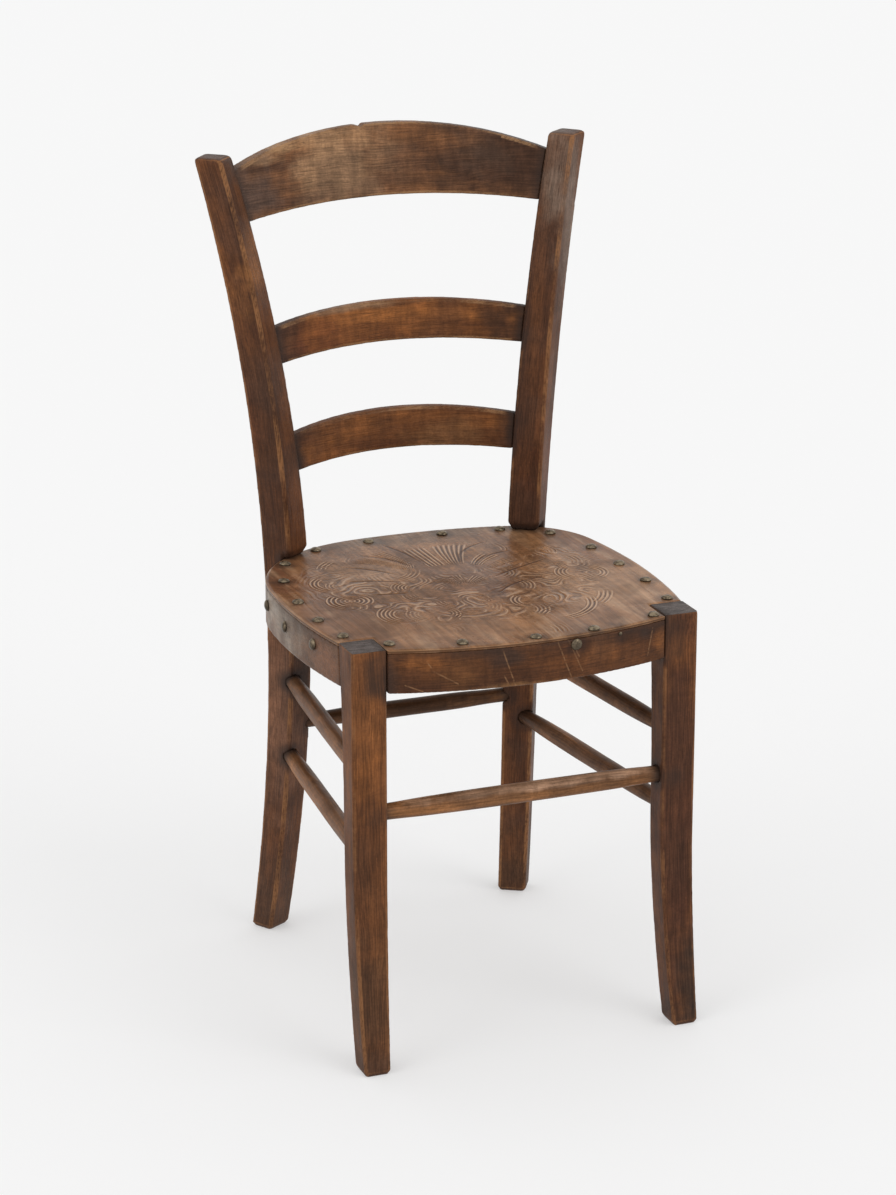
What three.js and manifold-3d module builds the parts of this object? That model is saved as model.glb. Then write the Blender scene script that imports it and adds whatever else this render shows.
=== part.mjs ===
// Wooden café chair: sabre legs, a bent seat hoop with a thin nailed panel, three arched back rails
// and turned stretchers. Millimetres, +Z up, the front looks along -Y, and left is -X, as it is seen
// by someone who stands in front of the chair.
import * as THREE from 'three';
import { mergeVertices } from 'three/addons/utils/BufferGeometryUtils.js';
import Module from 'manifold-3d';

const wasm = await Module();
wasm.setup();

// Fits
const clearance = 0.3;
const overrun = 6;

// Seat
const seatHeight = 450;
const seatHalfWidth = 200.4;
const seatWidestY = -36;
const seatSideRadius = 690;
const seatRightCornerRadius = 95;
const seatLeftCornerRadius = 152;
const seatBackY = 171;
const seatBackRadius = 528;
const seatFrontY = -227;
const seatFrontSagitta = 25;
const panelThickness = 3.7;
const panelInset = 0.4;
const hoopHeight = 42.3;
const hoopThickness = 28;
const frontRailThickness = 22;

// Front legs
const legWidth = 37.4;
const legFootWidth = 28.5;
const legFootToe = 1.8;
const legDepth = 30.8;
const legTopDepth = 40.8;
const legKick = 25;
const legKickHeight = 220;
const legTaperHeight = 250;
const legSetback = 0.6;
const legArris = 2.5;

// Bevel round the bottom of every leg and post
const footBevelHeight = 4.5;
const footBevelInset = 2.4;

// Rear posts
const postBackHeight = 431;
const postInset = 6.2;
const postCornerAngle = Math.PI * 0.3354;
const postWidth = 35.8;
const postFootWidth = 32.5;
const postTopWidth = 31.4;
const postDepth = 36.3;
const postFootDepth = 28.5;
const postTopDepth = 31.2;
const postFootTurn = Math.PI * 0.171;
const postTopTurn = Math.PI * 0.278;
const postFootSplay = 11.5;
const postTopSplay = 65;
const postFootRake = 50.5;
const postTopRake = 40;
const postWaistShare = 2 / 3;
const postBendShare = 0.955;
const postArris = 3;
const postCrown = 4;
const shoulderBevelHeight = 9;
const shoulderBevelInset = 4.5;

// Back rails: each drop is from the top of the post to the rail's top edge, at the face of the post
const railSetback = 3;
const railBow = 33;
const railArris = 2.5;
const railTenonLength = 18;
const railTenonShoulder = 3.5;
const railTenonEdge = 6;
const crestRail = {
  name: 'crest_rail', drop: 18.6, height: 53.8, topRise: 33.9, bottomRise: 10.5, thickness: 16,
};
const middleSlat = {
  name: 'middle_slat', drop: 185.3, height: 38.8, topRise: 11.5, bottomRise: 6.3, thickness: 13,
};
const lowerSlat = {
  name: 'lower_slat', drop: 301.3, height: 39.4, topRise: 10.2, bottomRise: 4.7, thickness: 13,
};

// Seat frame joints
const frameTenonThickness = 9;
const frameTenonLength = 17;
const frameTenonEdge = 6.5;

// Stretchers: heights are above the floor
const stretcherDepth = 17;
const stretcherNeck = 7;
const frontStretcher = { height: 272.6, belly: 21, end: 17 };
const rearStretcher = { height: 253.6, belly: 19, end: 16 };
const sideRod = { belly: 19.6, end: 16 };
const upperRightEnds = { front: 317, rear: 314.5 };
const lowerRightEnds = { front: 231.5, rear: 229 };
const upperLeftEnds = { front: 312, rear: 308.5 };
const lowerLeftEnds = { front: 223.5, rear: 220 };
const sideStretchers = [
  { name: 'side_stretcher_upper_right', side: 1, ...upperRightEnds, ...sideRod },
  { name: 'side_stretcher_lower_right', side: 1, ...lowerRightEnds, ...sideRod },
  { name: 'side_stretcher_upper_left', side: -1, ...upperLeftEnds, ...sideRod },
  { name: 'side_stretcher_lower_left', side: -1, ...lowerLeftEnds, ...sideRod },
];

// Corner blocks behind the front legs
const blockDepth = 24;
const blockHalfWidth = 42;
const blockHeight = 32;

// Nails and screws
const nailHeadRadius = 6.1;
const nailHeadHeight = 3;
const nailShankRadius = 1.2;
const nailLength = 15;
const bradHeadRadius = 2.2;
const screwHeadRadius = 4.6;
const screwHeadDepth = 3;
const screwShankRadius = 2.2;
const screwTip = 3;
const postScrewLength = 36;
const blockScrewBite = 14;

// Nail places along each run, and their inset as a share of the member that they go into
const rightNailShares = [[0.03, 0.48], [0.244, 0.58], [0.455, 0.72], [0.676, 0.68], [0.935, 0.74]];
const leftNailShares = [[0.046, 0.48], [0.242, 0.5], [0.458, 0.58], [0.718, 0.69], [0.945, 0.42]];
const backNailShares = [[0.06, 0.58], [0.328, 0.67], [0.676, 0.62], [0.95, 0.42]];
const frontNailShares = [[-0.985, 0.86], [-0.5, 0.63], [0.011, 0.43], [0.443, 0.34], [0.95, 0.45]];
const hoopFaceNailShares = [[0.18, 0.68], [0.438, 0.57], [0.664, 0.62]];
const frontFaceNail = { share: 0.28, height: 0.86 };
const frontFaceBrad = { share: 0.62, height: 0.92 };

// Facets
const cornerSteps = 2;
const legRings = 18;
const postRings = 26;
const railStations = 20;
const sideSteps = 12;
const bendSteps = 14;
const roundSides = 14;
const swellSteps = 8;
const nailSides = 8;
const domeSteps = 4;

// Derived places
const panelBottom = seatHeight - panelThickness;
const hoopTop = panelBottom - clearance;
const hoopBottom = hoopTop - hoopHeight;
const postTop = seatHeight + postBackHeight;
const postWaist = seatHeight * postWaistShare;
const postBend = seatHeight * postBendShare;
const legFrontY = seatFrontY + seatFrontSagitta + legSetback;
const legBackY = legFrontY + legTopDepth;

// Colours
const stainedBeech = { color: 0x6b4429, roughness: 0.45, metalness: 0 };
const finishes = {
  dark: new THREE.MeshStandardMaterial({ ...stainedBeech, color: 0x573524 }),
  frame: new THREE.MeshStandardMaterial(stainedBeech),
  panel: new THREE.MeshStandardMaterial({ ...stainedBeech, color: 0x84604b, roughness: 0.38 }),
  block: new THREE.MeshStandardMaterial({ color: 0x9a7550, roughness: 0.7, metalness: 0 }),
  nail: new THREE.MeshStandardMaterial({ color: 0x6e6448, roughness: 0.35, metalness: 0.9 }),
  steel: new THREE.MeshStandardMaterial({ color: 0x77736c, roughness: 0.45, metalness: 1 }),
};

// Solids
function solid(geometry) {
  const bare = geometry.clone();
  bare.deleteAttribute('normal');
  bare.deleteAttribute('uv');
  const merged = mergeVertices(bare);
  return new wasm.Manifold(new wasm.Mesh({
    numProp: 3,
    vertProperties: new Float32Array(merged.attributes.position.array),
    triVerts: new Uint32Array(merged.index.array),
  }));
}

function geometryOf(body) {
  const mesh = body.getMesh();
  const geometry = new THREE.BufferGeometry();
  geometry.setAttribute('position', new THREE.BufferAttribute(mesh.vertProperties, mesh.numProp));
  geometry.setIndex(new THREE.BufferAttribute(mesh.triVerts, 1));
  return geometry;
}

function cut(body, tools) {
  return tools.reduce((rest, tool) => rest.subtract(tool), body);
}

function mirrored(geometry) {
  const copy = mergeVertices(geometry.clone().deleteAttribute('normal').deleteAttribute('uv'));
  copy.scale(-1, 1, 1);
  const index = copy.index.array;
  for (let i = 0; i < index.length; i += 3) {
    [index[i], index[i + 1]] = [index[i + 1], index[i]];
  }
  return copy;
}

// A skin over rings of points, closed by a fan at each end
function loft(rings) {
  const sides = rings[0].length;
  const points = rings.flat();
  const faces = [];
  for (let r = 0; r < rings.length - 1; r += 1) {
    for (let i = 0; i < sides; i += 1) {
      const here = r * sides + i;
      const next = r * sides + (i + 1) % sides;
      faces.push(here, next, next + sides, here, next + sides, here + sides);
    }
  }
  const firstOfLast = (rings.length - 1) * sides;
  const middle = (ring) => ring
    .reduce((sum, point) => sum.add(point), new THREE.Vector3())
    .divideScalar(sides);
  points.push(middle(rings[0]), middle(rings.at(-1)));
  for (let i = 0; i < sides; i += 1) {
    const next = (i + 1) % sides;
    faces.push(next, i, points.length - 2);
    faces.push(firstOfLast + i, firstOfLast + next, points.length - 1);
  }
  const geometry = new THREE.BufferGeometry().setFromPoints(points);
  geometry.setIndex(faces);
  return geometry;
}

function roundedRectangle(width, depth, radius) {
  const quarters = [[1, 1], [-1, 1], [-1, -1], [1, -1]];
  return quarters.flatMap(([across, along], quarter) => {
    const corner = [];
    for (let i = 0; i <= cornerSteps; i += 1) {
      const angle = (Math.PI / 2) * (quarter + i / cornerSteps);
      corner.push(new THREE.Vector2(
        across * (width / 2 - radius) + radius * Math.cos(angle),
        along * (depth / 2 - radius) + radius * Math.sin(angle),
      ));
    }
    return corner;
  });
}

function extruded(points, bottom, height) {
  const geometry = new THREE.ExtrudeGeometry(new THREE.Shape(points), {
    depth: height, bevelEnabled: false,
  });
  return geometry.translate(0, 0, bottom);
}

function boxBetween(low, high) {
  const size = new THREE.Vector3().subVectors(high, low);
  const centre = new THREE.Vector3().addVectors(low, high).divideScalar(2);
  return new THREE.BoxGeometry(size.x, size.y, size.z).translate(centre.x, centre.y, centre.z);
}

// Turns a revolved piece from +Y to a direction, and puts its start at a point
function aimed(geometry, start, direction) {
  const turn = new THREE.Quaternion().setFromUnitVectors(
    new THREE.Vector3(0, 1, 0),
    direction.clone().normalize(),
  );
  return geometry.applyQuaternion(turn).translate(start.x, start.y, start.z);
}

// Share of the way from one height to another, kept between 0 and 1
function rise(height, from, to) {
  return THREE.MathUtils.clamp((height - from) / (to - from), 0, 1);
}

// Seat outline: a flat arc on each side, a tighter bend at each post and a long arc at the back
const sideCentre = new THREE.Vector2(seatHalfWidth - seatSideRadius, seatWidestY);
const backCentre = new THREE.Vector2(0, seatBackY - seatBackRadius);

// Centre of the corner arc that touches the side arc and the back arc from inside
function cornerCentre(cornerRadius) {
  const reachSide = seatSideRadius - cornerRadius;
  const reachBack = seatBackRadius - cornerRadius;
  const between = new THREE.Vector2().subVectors(backCentre, sideCentre);
  const span = between.length();
  const along = (reachSide ** 2 - reachBack ** 2 + span ** 2) / (2 * span);
  const across = Math.sqrt(reachSide ** 2 - along ** 2);
  const unit = between.divideScalar(span);
  return new THREE.Vector2(
    sideCentre.x + unit.x * along - unit.y * across,
    sideCentre.y + unit.y * along + unit.x * across,
  );
}

function arc(centre, radius, from, to, steps) {
  return Array.from({ length: steps + 1 }, (_, i) => {
    const angle = THREE.MathUtils.lerp(from, to, i / steps);
    return new THREE.Vector2(
      centre.x + radius * Math.cos(angle),
      centre.y + radius * Math.sin(angle),
    );
  });
}

// One half of the outline, drawn on the right: three arcs from beside the front leg to the back
const sideStart = Math.asin((legFrontY + legTopDepth / 2 - sideCentre.y) / seatSideRadius);

function halfArcs(cornerRadius) {
  const corner = cornerCentre(cornerRadius);
  const sideEnd = Math.atan2(corner.y - sideCentre.y, corner.x - sideCentre.x);
  const backStart = Math.atan2(corner.y - backCentre.y, corner.x - backCentre.x);
  const middle = Math.PI / 2;
  return [
    { centre: sideCentre, radius: seatSideRadius, from: sideStart, to: sideEnd, steps: sideSteps },
    { centre: corner, radius: cornerRadius, from: sideEnd, to: backStart, steps: bendSteps },
    { centre: backCentre, radius: seatBackRadius, from: backStart, to: middle, steps: sideSteps },
  ];
}

// The bend came out a little slacker on the left than on the right
const rightArcs = halfArcs(seatRightCornerRadius);
const leftArcs = halfArcs(seatLeftCornerRadius);

function halfOutline(arcs, inset) {
  return arcs.flatMap(({ centre, radius, from, to, steps }, i) => (
    arc(centre, radius - inset, from, to, steps).slice(i === 0 ? 0 : 1)
  ));
}

function hoopOutline(inset) {
  const left = halfOutline(leftArcs, inset).slice(0, -1).reverse();
  return [
    ...halfOutline(rightArcs, inset),
    ...left.map((point) => new THREE.Vector2(-point.x, point.y)),
  ];
}

function sideX(y) {
  return sideCentre.x + Math.sqrt(seatSideRadius ** 2 - (y - sideCentre.y) ** 2);
}

// Front edge: one arc that ends at the inner faces of the legs
const legOuterX = sideX(legBackY);
const legInnerX = legOuterX - legWidth;
const frontRadius = (legInnerX ** 2 + seatFrontSagitta ** 2) / (2 * seatFrontSagitta);
const frontCentre = new THREE.Vector2(0, seatFrontY + frontRadius);

function frontOutline(inset) {
  const half = Math.asin((legInnerX + overrun) / frontRadius);
  const middle = -Math.PI / 2;
  return arc(frontCentre, frontRadius - inset, middle - half, middle + half, sideSteps * 2);
}

function frontPoint(x, inset) {
  const angle = Math.asin(x / frontRadius);
  const radius = frontRadius - inset;
  return new THREE.Vector2(
    frontCentre.x + radius * Math.sin(angle),
    frontCentre.y - radius * Math.cos(angle),
  );
}

// Front legs
function legSection(height) {
  const taper = 1 - rise(height, 0, legTaperHeight);
  const kick = 1 - rise(height, 0, legKickHeight);
  const swell = rise(height, legTaperHeight, seatHeight);
  return {
    width: legWidth - (legWidth - legFootWidth) * taper ** 1.6,
    outer: legOuterX - legFootToe * taper,
    depth: legDepth + (legTopDepth - legDepth) * swell ** 2.2,
    front: legFrontY - legKick * kick ** 1.7,
  };
}

function legRing(height, inset) {
  const { width, depth, outer, front } = legSection(height);
  return roundedRectangle(width - 2 * inset, depth - 2 * inset, legArris)
    .map((point) => new THREE.Vector3(
      outer - width / 2 + point.x,
      front + depth / 2 + point.y,
      height,
    ));
}

function legBlank() {
  const rings = [legRing(0, footBevelInset)];
  for (let i = 0; i <= legRings; i += 1) {
    rings.push(legRing(THREE.MathUtils.lerp(footBevelHeight, seatHeight, i / legRings), 0));
  }
  return loft(rings);
}

// What the leg takes out of its neighbours: its own space, open to the front and to the outside
function legSpace() {
  const rings = [];
  for (let i = 0; i <= legRings; i += 1) {
    const height = THREE.MathUtils.lerp(hoopBottom - overrun, seatHeight + overrun, i / legRings);
    const { width, depth, front } = legSection(Math.min(height, seatHeight));
    const inner = legOuterX - width - clearance;
    const back = front + depth + clearance;
    const outer = seatHalfWidth + overrun;
    const ahead = seatFrontY - overrun;
    rings.push([[inner, ahead], [outer, ahead], [outer, back], [inner, back]]
      .map(([x, y]) => new THREE.Vector3(x, y, height)));
  }
  return loft(rings);
}

// Rear posts
const postSeat = cornerCentre(seatRightCornerRadius).add(new THREE.Vector2(
  (seatRightCornerRadius - postInset) * Math.cos(postCornerAngle),
  (seatRightCornerRadius - postInset) * Math.sin(postCornerAngle),
));

function postSection(height) {
  const foot = 1 - rise(height, 0, seatHeight);
  const head = rise(height, seatHeight, postTop);
  const splay = (at) => postFootSplay * (1 - rise(at, 0, postWaist)) ** 1.7
    + postTopSplay * rise(at, postWaist, postTop) ** 2.1;
  const rake = (at) => postFootRake * (1 - rise(at, 0, postBend)) ** 2
    + postTopRake * rise(at, postBend, postTop) ** 1.9;
  const turn = THREE.MathUtils.lerp(postFootTurn, postTopTurn, rise(height, postWaist, postTop));
  return {
    centre: new THREE.Vector3(
      postSeat.x + splay(height) - splay(seatHeight),
      postSeat.y + rake(height) - rake(seatHeight),
      height,
    ),
    out: new THREE.Vector3(Math.cos(turn), -Math.sin(turn), 0),
    back: new THREE.Vector3(Math.sin(turn), Math.cos(turn), 0),
    width: postWidth - (postWidth - postFootWidth) * foot ** 1.5
      - (postWidth - postTopWidth) * head ** 1.5,
    depth: postDepth - (postDepth - postFootDepth) * foot ** 1.3
      - (postDepth - postTopDepth) * head ** 1.7,
  };
}

function postRing(height, inset) {
  const section = postSection(height);
  return roundedRectangle(section.width - 2 * inset, section.depth - 2 * inset, postArris)
    .map((point) => section.centre.clone()
      .addScaledVector(section.out, point.x)
      .addScaledVector(section.back, point.y));
}

function postBlank(inset) {
  const rings = [postRing(0, inset + footBevelInset)];
  for (let i = 0; i <= postRings; i += 1) {
    const height = THREE.MathUtils.lerp(footBevelHeight, postTop - postCrown, i / postRings);
    rings.push(postRing(height, inset));
  }
  rings.push(postRing(postTop - postCrown / 3, inset + postCrown / 4));
  rings.push(postRing(postTop, inset + postCrown));
  return loft(rings);
}

// Where the front face of a back rail meets the inner face of the right post
function railMeetsPost(height) {
  const section = postSection(height);
  return section.centre.clone()
    .addScaledVector(section.back, railSetback - section.depth / 2)
    .addScaledVector(section.out, -section.width / 2);
}

// Back rails: an arched board, bowed back, swept from post to post
function railSweep(rail, shoulder, edge, reach, arris) {
  const topEnd = postTop - rail.drop;
  const bottomEnd = topEnd - rail.height;
  const past = 1 + reach / railMeetsPost(topEnd).x;
  const rings = Array.from({ length: railStations + 1 }, (_, station) => {
    const across = THREE.MathUtils.lerp(-past, past, station / railStations);
    const bottom = bottomEnd + rail.bottomRise * (1 - across ** 2);
    const top = topEnd + rail.topRise * (1 - across ** 2);
    const section = roundedRectangle(rail.thickness - 2 * shoulder, top - bottom - 2 * edge, arris);
    return section.map((point) => {
      const height = (top + bottom) / 2 + point.y;
      const meet = railMeetsPost(height);
      const backward = new THREE.Vector3(2 * railBow * across, meet.x, 0).normalize();
      return new THREE.Vector3(meet.x * across, meet.y + railBow * (1 - across ** 2), height)
        .addScaledVector(backward, rail.thickness / 2 + point.x);
    });
  });
  return loft(rings);
}

function railTenon(rail, grow) {
  return railSweep(
    rail,
    railTenonShoulder - grow,
    railTenonEdge - grow,
    railTenonLength + grow,
    railArris / 2,
  );
}

const backRails = [crestRail, middleSlat, lowerSlat];
const postSpace = postBlank(-clearance);
const postSpaces = [solid(postSpace), solid(mirrored(postSpace))];

function backRail(rail) {
  const board = solid(railSweep(rail, 0, 0, railTenonLength / 2, railArris));
  return cut(board, postSpaces).add(solid(railTenon(rail, 0)));
}

// Tenons of the hoop and the front rail, on the right
function frameTenon(low, high, grow) {
  const extra = new THREE.Vector3(grow, grow, grow);
  return solid(boxBetween(low.clone().sub(extra), high.clone().add(extra)));
}

const tenonBottom = hoopBottom + frameTenonEdge;
const tenonTop = hoopTop - frameTenonEdge;

function frontRailTenon(grow) {
  const middle = frontPoint(legInnerX, frontRailThickness / 2).y;
  return frameTenon(
    new THREE.Vector3(legInnerX - frameTenonLength / 2, middle - frameTenonThickness / 2, tenonBottom),
    new THREE.Vector3(legInnerX + frameTenonLength, middle + frameTenonThickness / 2, tenonTop),
    grow,
  );
}

function hoopTenon(grow) {
  const middle = legOuterX - hoopThickness / 2;
  return frameTenon(
    new THREE.Vector3(middle - frameTenonThickness / 2, legBackY - frameTenonLength, tenonBottom),
    new THREE.Vector3(middle + frameTenonThickness / 2, legBackY + frameTenonLength / 2, tenonTop),
    grow,
  );
}

function bothSides(geometry) {
  return [solid(geometry), solid(mirrored(geometry))];
}

// Nails: a round head on a thin shank, drawn from the tip of the head down along the shank
function nailGeometry(headRadius, headHeight) {
  const dome = Array.from({ length: domeSteps + 1 }, (_, i) => {
    const angle = (Math.PI / 2) * (i / domeSteps);
    return new THREE.Vector2(headRadius * Math.sin(angle), -headHeight * Math.cos(angle));
  });
  dome[0].x = 0;
  return new THREE.LatheGeometry([
    ...dome,
    new THREE.Vector2(nailShankRadius, 0),
    new THREE.Vector2(nailShankRadius, nailLength - 2 * nailShankRadius),
    new THREE.Vector2(0, nailLength),
  ], nailSides);
}

function nailHole() {
  const radius = nailShankRadius + clearance;
  return new THREE.CylinderGeometry(radius, radius, nailLength + 2 * clearance, nailSides)
    .translate(0, nailLength / 2, 0);
}

const down = new THREE.Vector3(0, 0, -1);

// A place along the outside of the hoop from the right leg, and the way in from it
function runLength(arcs) {
  return arcs.reduce((sum, { radius, from, to }) => sum + radius * (to - from), 0);
}

const rightLength = runLength(rightArcs);
const hoopLength = rightLength + runLength(leftArcs);

function alongHalf(arcs, length, inset) {
  let rest = length;
  let i = 0;
  while (i < arcs.length - 1 && rest > runLength([arcs[i]])) {
    rest -= runLength([arcs[i]]);
    i += 1;
  }
  const { centre, radius, from } = arcs[i];
  const angle = from + rest / radius;
  const inward = new THREE.Vector2(-Math.cos(angle), -Math.sin(angle));
  return { point: centre.clone().addScaledVector(inward, inset - radius), inward };
}

function alongHoop(length, inset) {
  if (length <= rightLength) {
    return alongHalf(rightArcs, length, inset);
  }
  const place = alongHalf(leftArcs, hoopLength - length, inset);
  place.point.x *= -1;
  place.inward.x *= -1;
  return place;
}

// Free runs of the hoop: from a leg to a post on each side, and between the posts
const legBackAngle = Math.asin((legBackY - sideCentre.y) / seatSideRadius);
const legEnd = seatSideRadius * (legBackAngle - sideStart);

function postMiddle(arcs) {
  const [side, corner] = arcs;
  const angle = Math.atan2(postSeat.y - corner.centre.y, postSeat.x - corner.centre.x);
  return runLength([side]) + corner.radius * (angle - corner.from);
}

const rightRun = postMiddle(rightArcs) - postWidth / 2 - legEnd;
const leftRun = postMiddle(leftArcs) - postWidth / 2 - legEnd;
const backStartLength = postMiddle(rightArcs) + postWidth / 2;
const backRun = hoopLength - backStartLength - postMiddle(leftArcs) - postWidth / 2;

const panelNails = [
  ...rightNailShares.map(([share, inset]) => [legEnd + rightRun * share, inset]),
  ...backNailShares.map(([share, inset]) => [backStartLength + backRun * share, inset]),
  ...leftNailShares.map(([share, inset]) => [hoopLength - legEnd - leftRun * share, inset]),
].map(([length, inset]) => {
  const { point } = alongHoop(length, inset * hoopThickness);
  return { start: new THREE.Vector3(point.x, point.y, seatHeight + clearance), direction: down };
});

const frontNails = frontNailShares.map(([share, inset]) => {
  const point = frontPoint(share * legInnerX, inset * frontRailThickness);
  return { start: new THREE.Vector3(point.x, point.y, seatHeight + clearance), direction: down };
});

const hoopFaceNails = hoopFaceNailShares.flatMap(([share, height]) => [
  alongHoop(legEnd + rightRun * share, -clearance),
  alongHoop(hoopLength - legEnd - leftRun * share, -clearance),
].map(({ point, inward }) => ({
  start: new THREE.Vector3(point.x, point.y, hoopBottom + height * hoopHeight),
  direction: new THREE.Vector3(inward.x, inward.y, 0),
})));

const railFaceNails = [frontFaceNail, frontFaceBrad].map(({ share, height }) => {
  const x = share * legInnerX;
  const point = frontPoint(x, -clearance);
  return {
    start: new THREE.Vector3(point.x, point.y, hoopBottom + height * hoopHeight),
    direction: new THREE.Vector3(frontCentre.x - point.x, frontCentre.y - point.y, 0),
  };
});

function holeFor({ start, direction }) {
  return solid(aimed(nailHole(), start, direction));
}

// Screws: a sunk head, drawn from the head down along the shank
function screwGeometry(length, grow) {
  const top = grow > 0 ? -overrun : 0;
  const head = screwHeadRadius + grow;
  const shank = screwShankRadius + grow;
  return new THREE.LatheGeometry([
    new THREE.Vector2(0, top),
    new THREE.Vector2(head, top),
    ...(grow > 0 ? [new THREE.Vector2(head, 0)] : []),
    new THREE.Vector2(shank, screwHeadDepth),
    new THREE.Vector2(shank, length - screwTip),
    new THREE.Vector2(0, length + grow),
  ], roundSides);
}

// One screw goes through the web of the right post into the hoop
function postScrew(grow) {
  const section = postSection((hoopBottom + hoopTop) / 2);
  const start = section.centre.clone().addScaledVector(section.back, section.depth / 2);
  return aimed(screwGeometry(postScrewLength, grow), start, section.back.clone().negate());
}

// Corner block behind the right leg, and the screw that draws it to the leg
const towardLeg = new THREE.Vector3(1, -1, 0).normalize();

function blockFace() {
  const height = (hoopBottom + hoopTop) / 2;
  const { width, depth, front } = legSection(height);
  return new THREE.Vector3(legOuterX - width, front + depth, height)
    .addScaledVector(towardLeg, -blockDepth);
}

function seatInside() {
  const side = hoopOutline(hoopThickness + clearance);
  const front = frontOutline(frontRailThickness + clearance);
  return extruded([...side, ...front], hoopBottom, hoopHeight);
}

function cornerBlock() {
  const face = blockFace();
  const reach = blockHalfWidth + blockDepth;
  const strip = new THREE.BoxGeometry(2 * blockHalfWidth, reach, blockHeight)
    .translate(0, -reach / 2, 0)
    .rotateZ(Math.PI / 4)
    .translate(face.x, face.y, face.z);
  const blank = solid(seatInside()).intersect(solid(strip));
  return cut(blank, [solid(legSpace()), solid(blockScrew(clearance))]);
}

function blockScrew(grow) {
  return aimed(screwGeometry(blockDepth + blockScrewBite, grow), blockFace(), towardLeg);
}

// Stretchers: turned rods whose straight ends go into round holes
function rodBetween(from, to, { belly, end }, fromFace, toFace) {
  const length = from.distanceTo(to);
  const endRadius = end / 2;
  const start = fromFace + stretcherNeck;
  const stop = length - toFace - stretcherNeck;
  const profile = [new THREE.Vector2(0, 0), new THREE.Vector2(endRadius, 0)];
  for (let i = 0; i <= swellSteps; i += 1) {
    const swell = 1 - (2 * (i / swellSteps) - 1) ** 4;
    profile.push(new THREE.Vector2(
      endRadius + (belly / 2 - endRadius) * swell,
      THREE.MathUtils.lerp(start, stop, i / swellSteps),
    ));
  }
  profile.push(new THREE.Vector2(endRadius, length), new THREE.Vector2(0, length));
  const rod = new THREE.LatheGeometry(profile, roundSides);
  return aimed(rod, from, new THREE.Vector3().subVectors(to, from));
}

function boreAlong(from, to, { end }, grow) {
  const radius = end / 2 + grow;
  const along = new THREE.Vector3().subVectors(to, from);
  const length = along.length() + 2 * grow;
  const start = from.clone().addScaledVector(along.clone().normalize(), -grow);
  const bore = new THREE.CylinderGeometry(radius, radius, length, roundSides)
    .translate(0, length / 2, 0);
  return solid(aimed(bore, start, along));
}

function legCentre(height) {
  const { width, depth, outer, front } = legSection(height);
  return new THREE.Vector3(outer - width / 2, front + depth / 2, height);
}

// Ends of each stretcher, inside the pieces that hold it
function frontStretcherEnd() {
  const centre = legCentre(frontStretcher.height);
  centre.x -= legSection(frontStretcher.height).width / 2 - stretcherDepth;
  return centre;
}

function rearStretcherEnd() {
  return postSection(rearStretcher.height).centre;
}

function sideStretcherEnds({ side, front, rear }) {
  const mirror = new THREE.Vector3(side, 1, 1);
  return [legCentre(front).multiply(mirror), postSection(rear).centre.multiply(mirror)];
}

function acrossRod(end, size, face) {
  const start = end.clone();
  start.x = -end.x;
  return rodBetween(start, end, size, face, face);
}

// Holes for the rods that cross the chair, in the right leg and post, and for the side rods
const frontHole = boreAlong(
  new THREE.Vector3(0, frontStretcherEnd().y, frontStretcher.height),
  frontStretcherEnd(),
  frontStretcher,
  clearance,
);
const rearHole = boreAlong(
  new THREE.Vector3(0, rearStretcherEnd().y, rearStretcher.height),
  rearStretcherEnd(),
  rearStretcher,
  clearance,
);
const sideHoles = sideStretchers.map((rod) => boreAlong(...sideStretcherEnds(rod), rod, clearance));

// Right leg before the holes of the side rods
function jointedLeg() {
  return cut(solid(legBlank()), [
    frontRailTenon(clearance),
    hoopTenon(clearance),
    solid(blockScrew(clearance)),
    frontHole,
  ]);
}

// The notch takes the hoop and the panel, and leaves a web outside and a shoulder on the seat
function seatNotch() {
  return solid(extruded(
    [...hoopOutline(-clearance), new THREE.Vector2(0, seatFrontY)],
    hoopBottom - clearance,
    seatHeight - hoopBottom + 2 * clearance,
  ));
}

// What the bevel takes off round the foot of the right shoulder, before it is kept to the seat
function shoulderBevel() {
  const heights = [seatHeight - overrun, seatHeight, seatHeight + shoulderBevelHeight];
  const insets = [shoulderBevelInset, shoulderBevelInset, 0];
  const around = loft(heights.map((height) => postRing(height, -overrun)));
  const kept = loft(heights.map((height, i) => postRing(height, insets[i])));
  return geometryOf(solid(around).subtract(solid(kept)));
}

function seatSpace() {
  const shape = [...hoopOutline(0), new THREE.Vector2(0, seatFrontY)];
  return solid(extruded(shape, seatHeight - overrun, shoulderBevelHeight + 2 * overrun));
}

// Right post before its notch and the holes of the side rods
function jointedPost() {
  return cut(solid(postBlank(0)), [
    solid(postScrew(clearance)),
    ...backRails.map((rail) => solid(railTenon(rail, clearance))),
    rearHole,
  ]);
}

function seatHoop() {
  const shape = [...hoopOutline(0), ...hoopOutline(hoopThickness).reverse()];
  const blank = cut(solid(extruded(shape, hoopBottom, hoopHeight)), bothSides(legSpace()));
  const tenon = geometryOf(hoopTenon(0));
  const joined = bothSides(tenon).reduce((body, part) => body.add(part), blank);
  return cut(joined, [
    ...[...panelNails, ...hoopFaceNails].map(holeFor),
    ...bothSides(postScrew(clearance)),
  ]);
}

function frontRail() {
  const shape = [...frontOutline(0), ...frontOutline(frontRailThickness).reverse()];
  const blank = cut(solid(extruded(shape, hoopBottom, hoopHeight)), bothSides(legSpace()));
  const tenon = geometryOf(frontRailTenon(0));
  const joined = bothSides(tenon).reduce((body, part) => body.add(part), blank);
  return cut(joined, [...frontNails, ...railFaceNails].map(holeFor));
}

function seatPanel() {
  const shape = [...hoopOutline(panelInset), ...frontOutline(panelInset)];
  return cut(solid(extruded(shape, panelBottom, panelThickness)), [
    ...bothSides(legSpace()),
    ...[...panelNails, ...frontNails].map(holeFor),
  ]);
}

// Assembly
const chair = new THREE.Group();
chair.name = 'chair';

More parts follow.
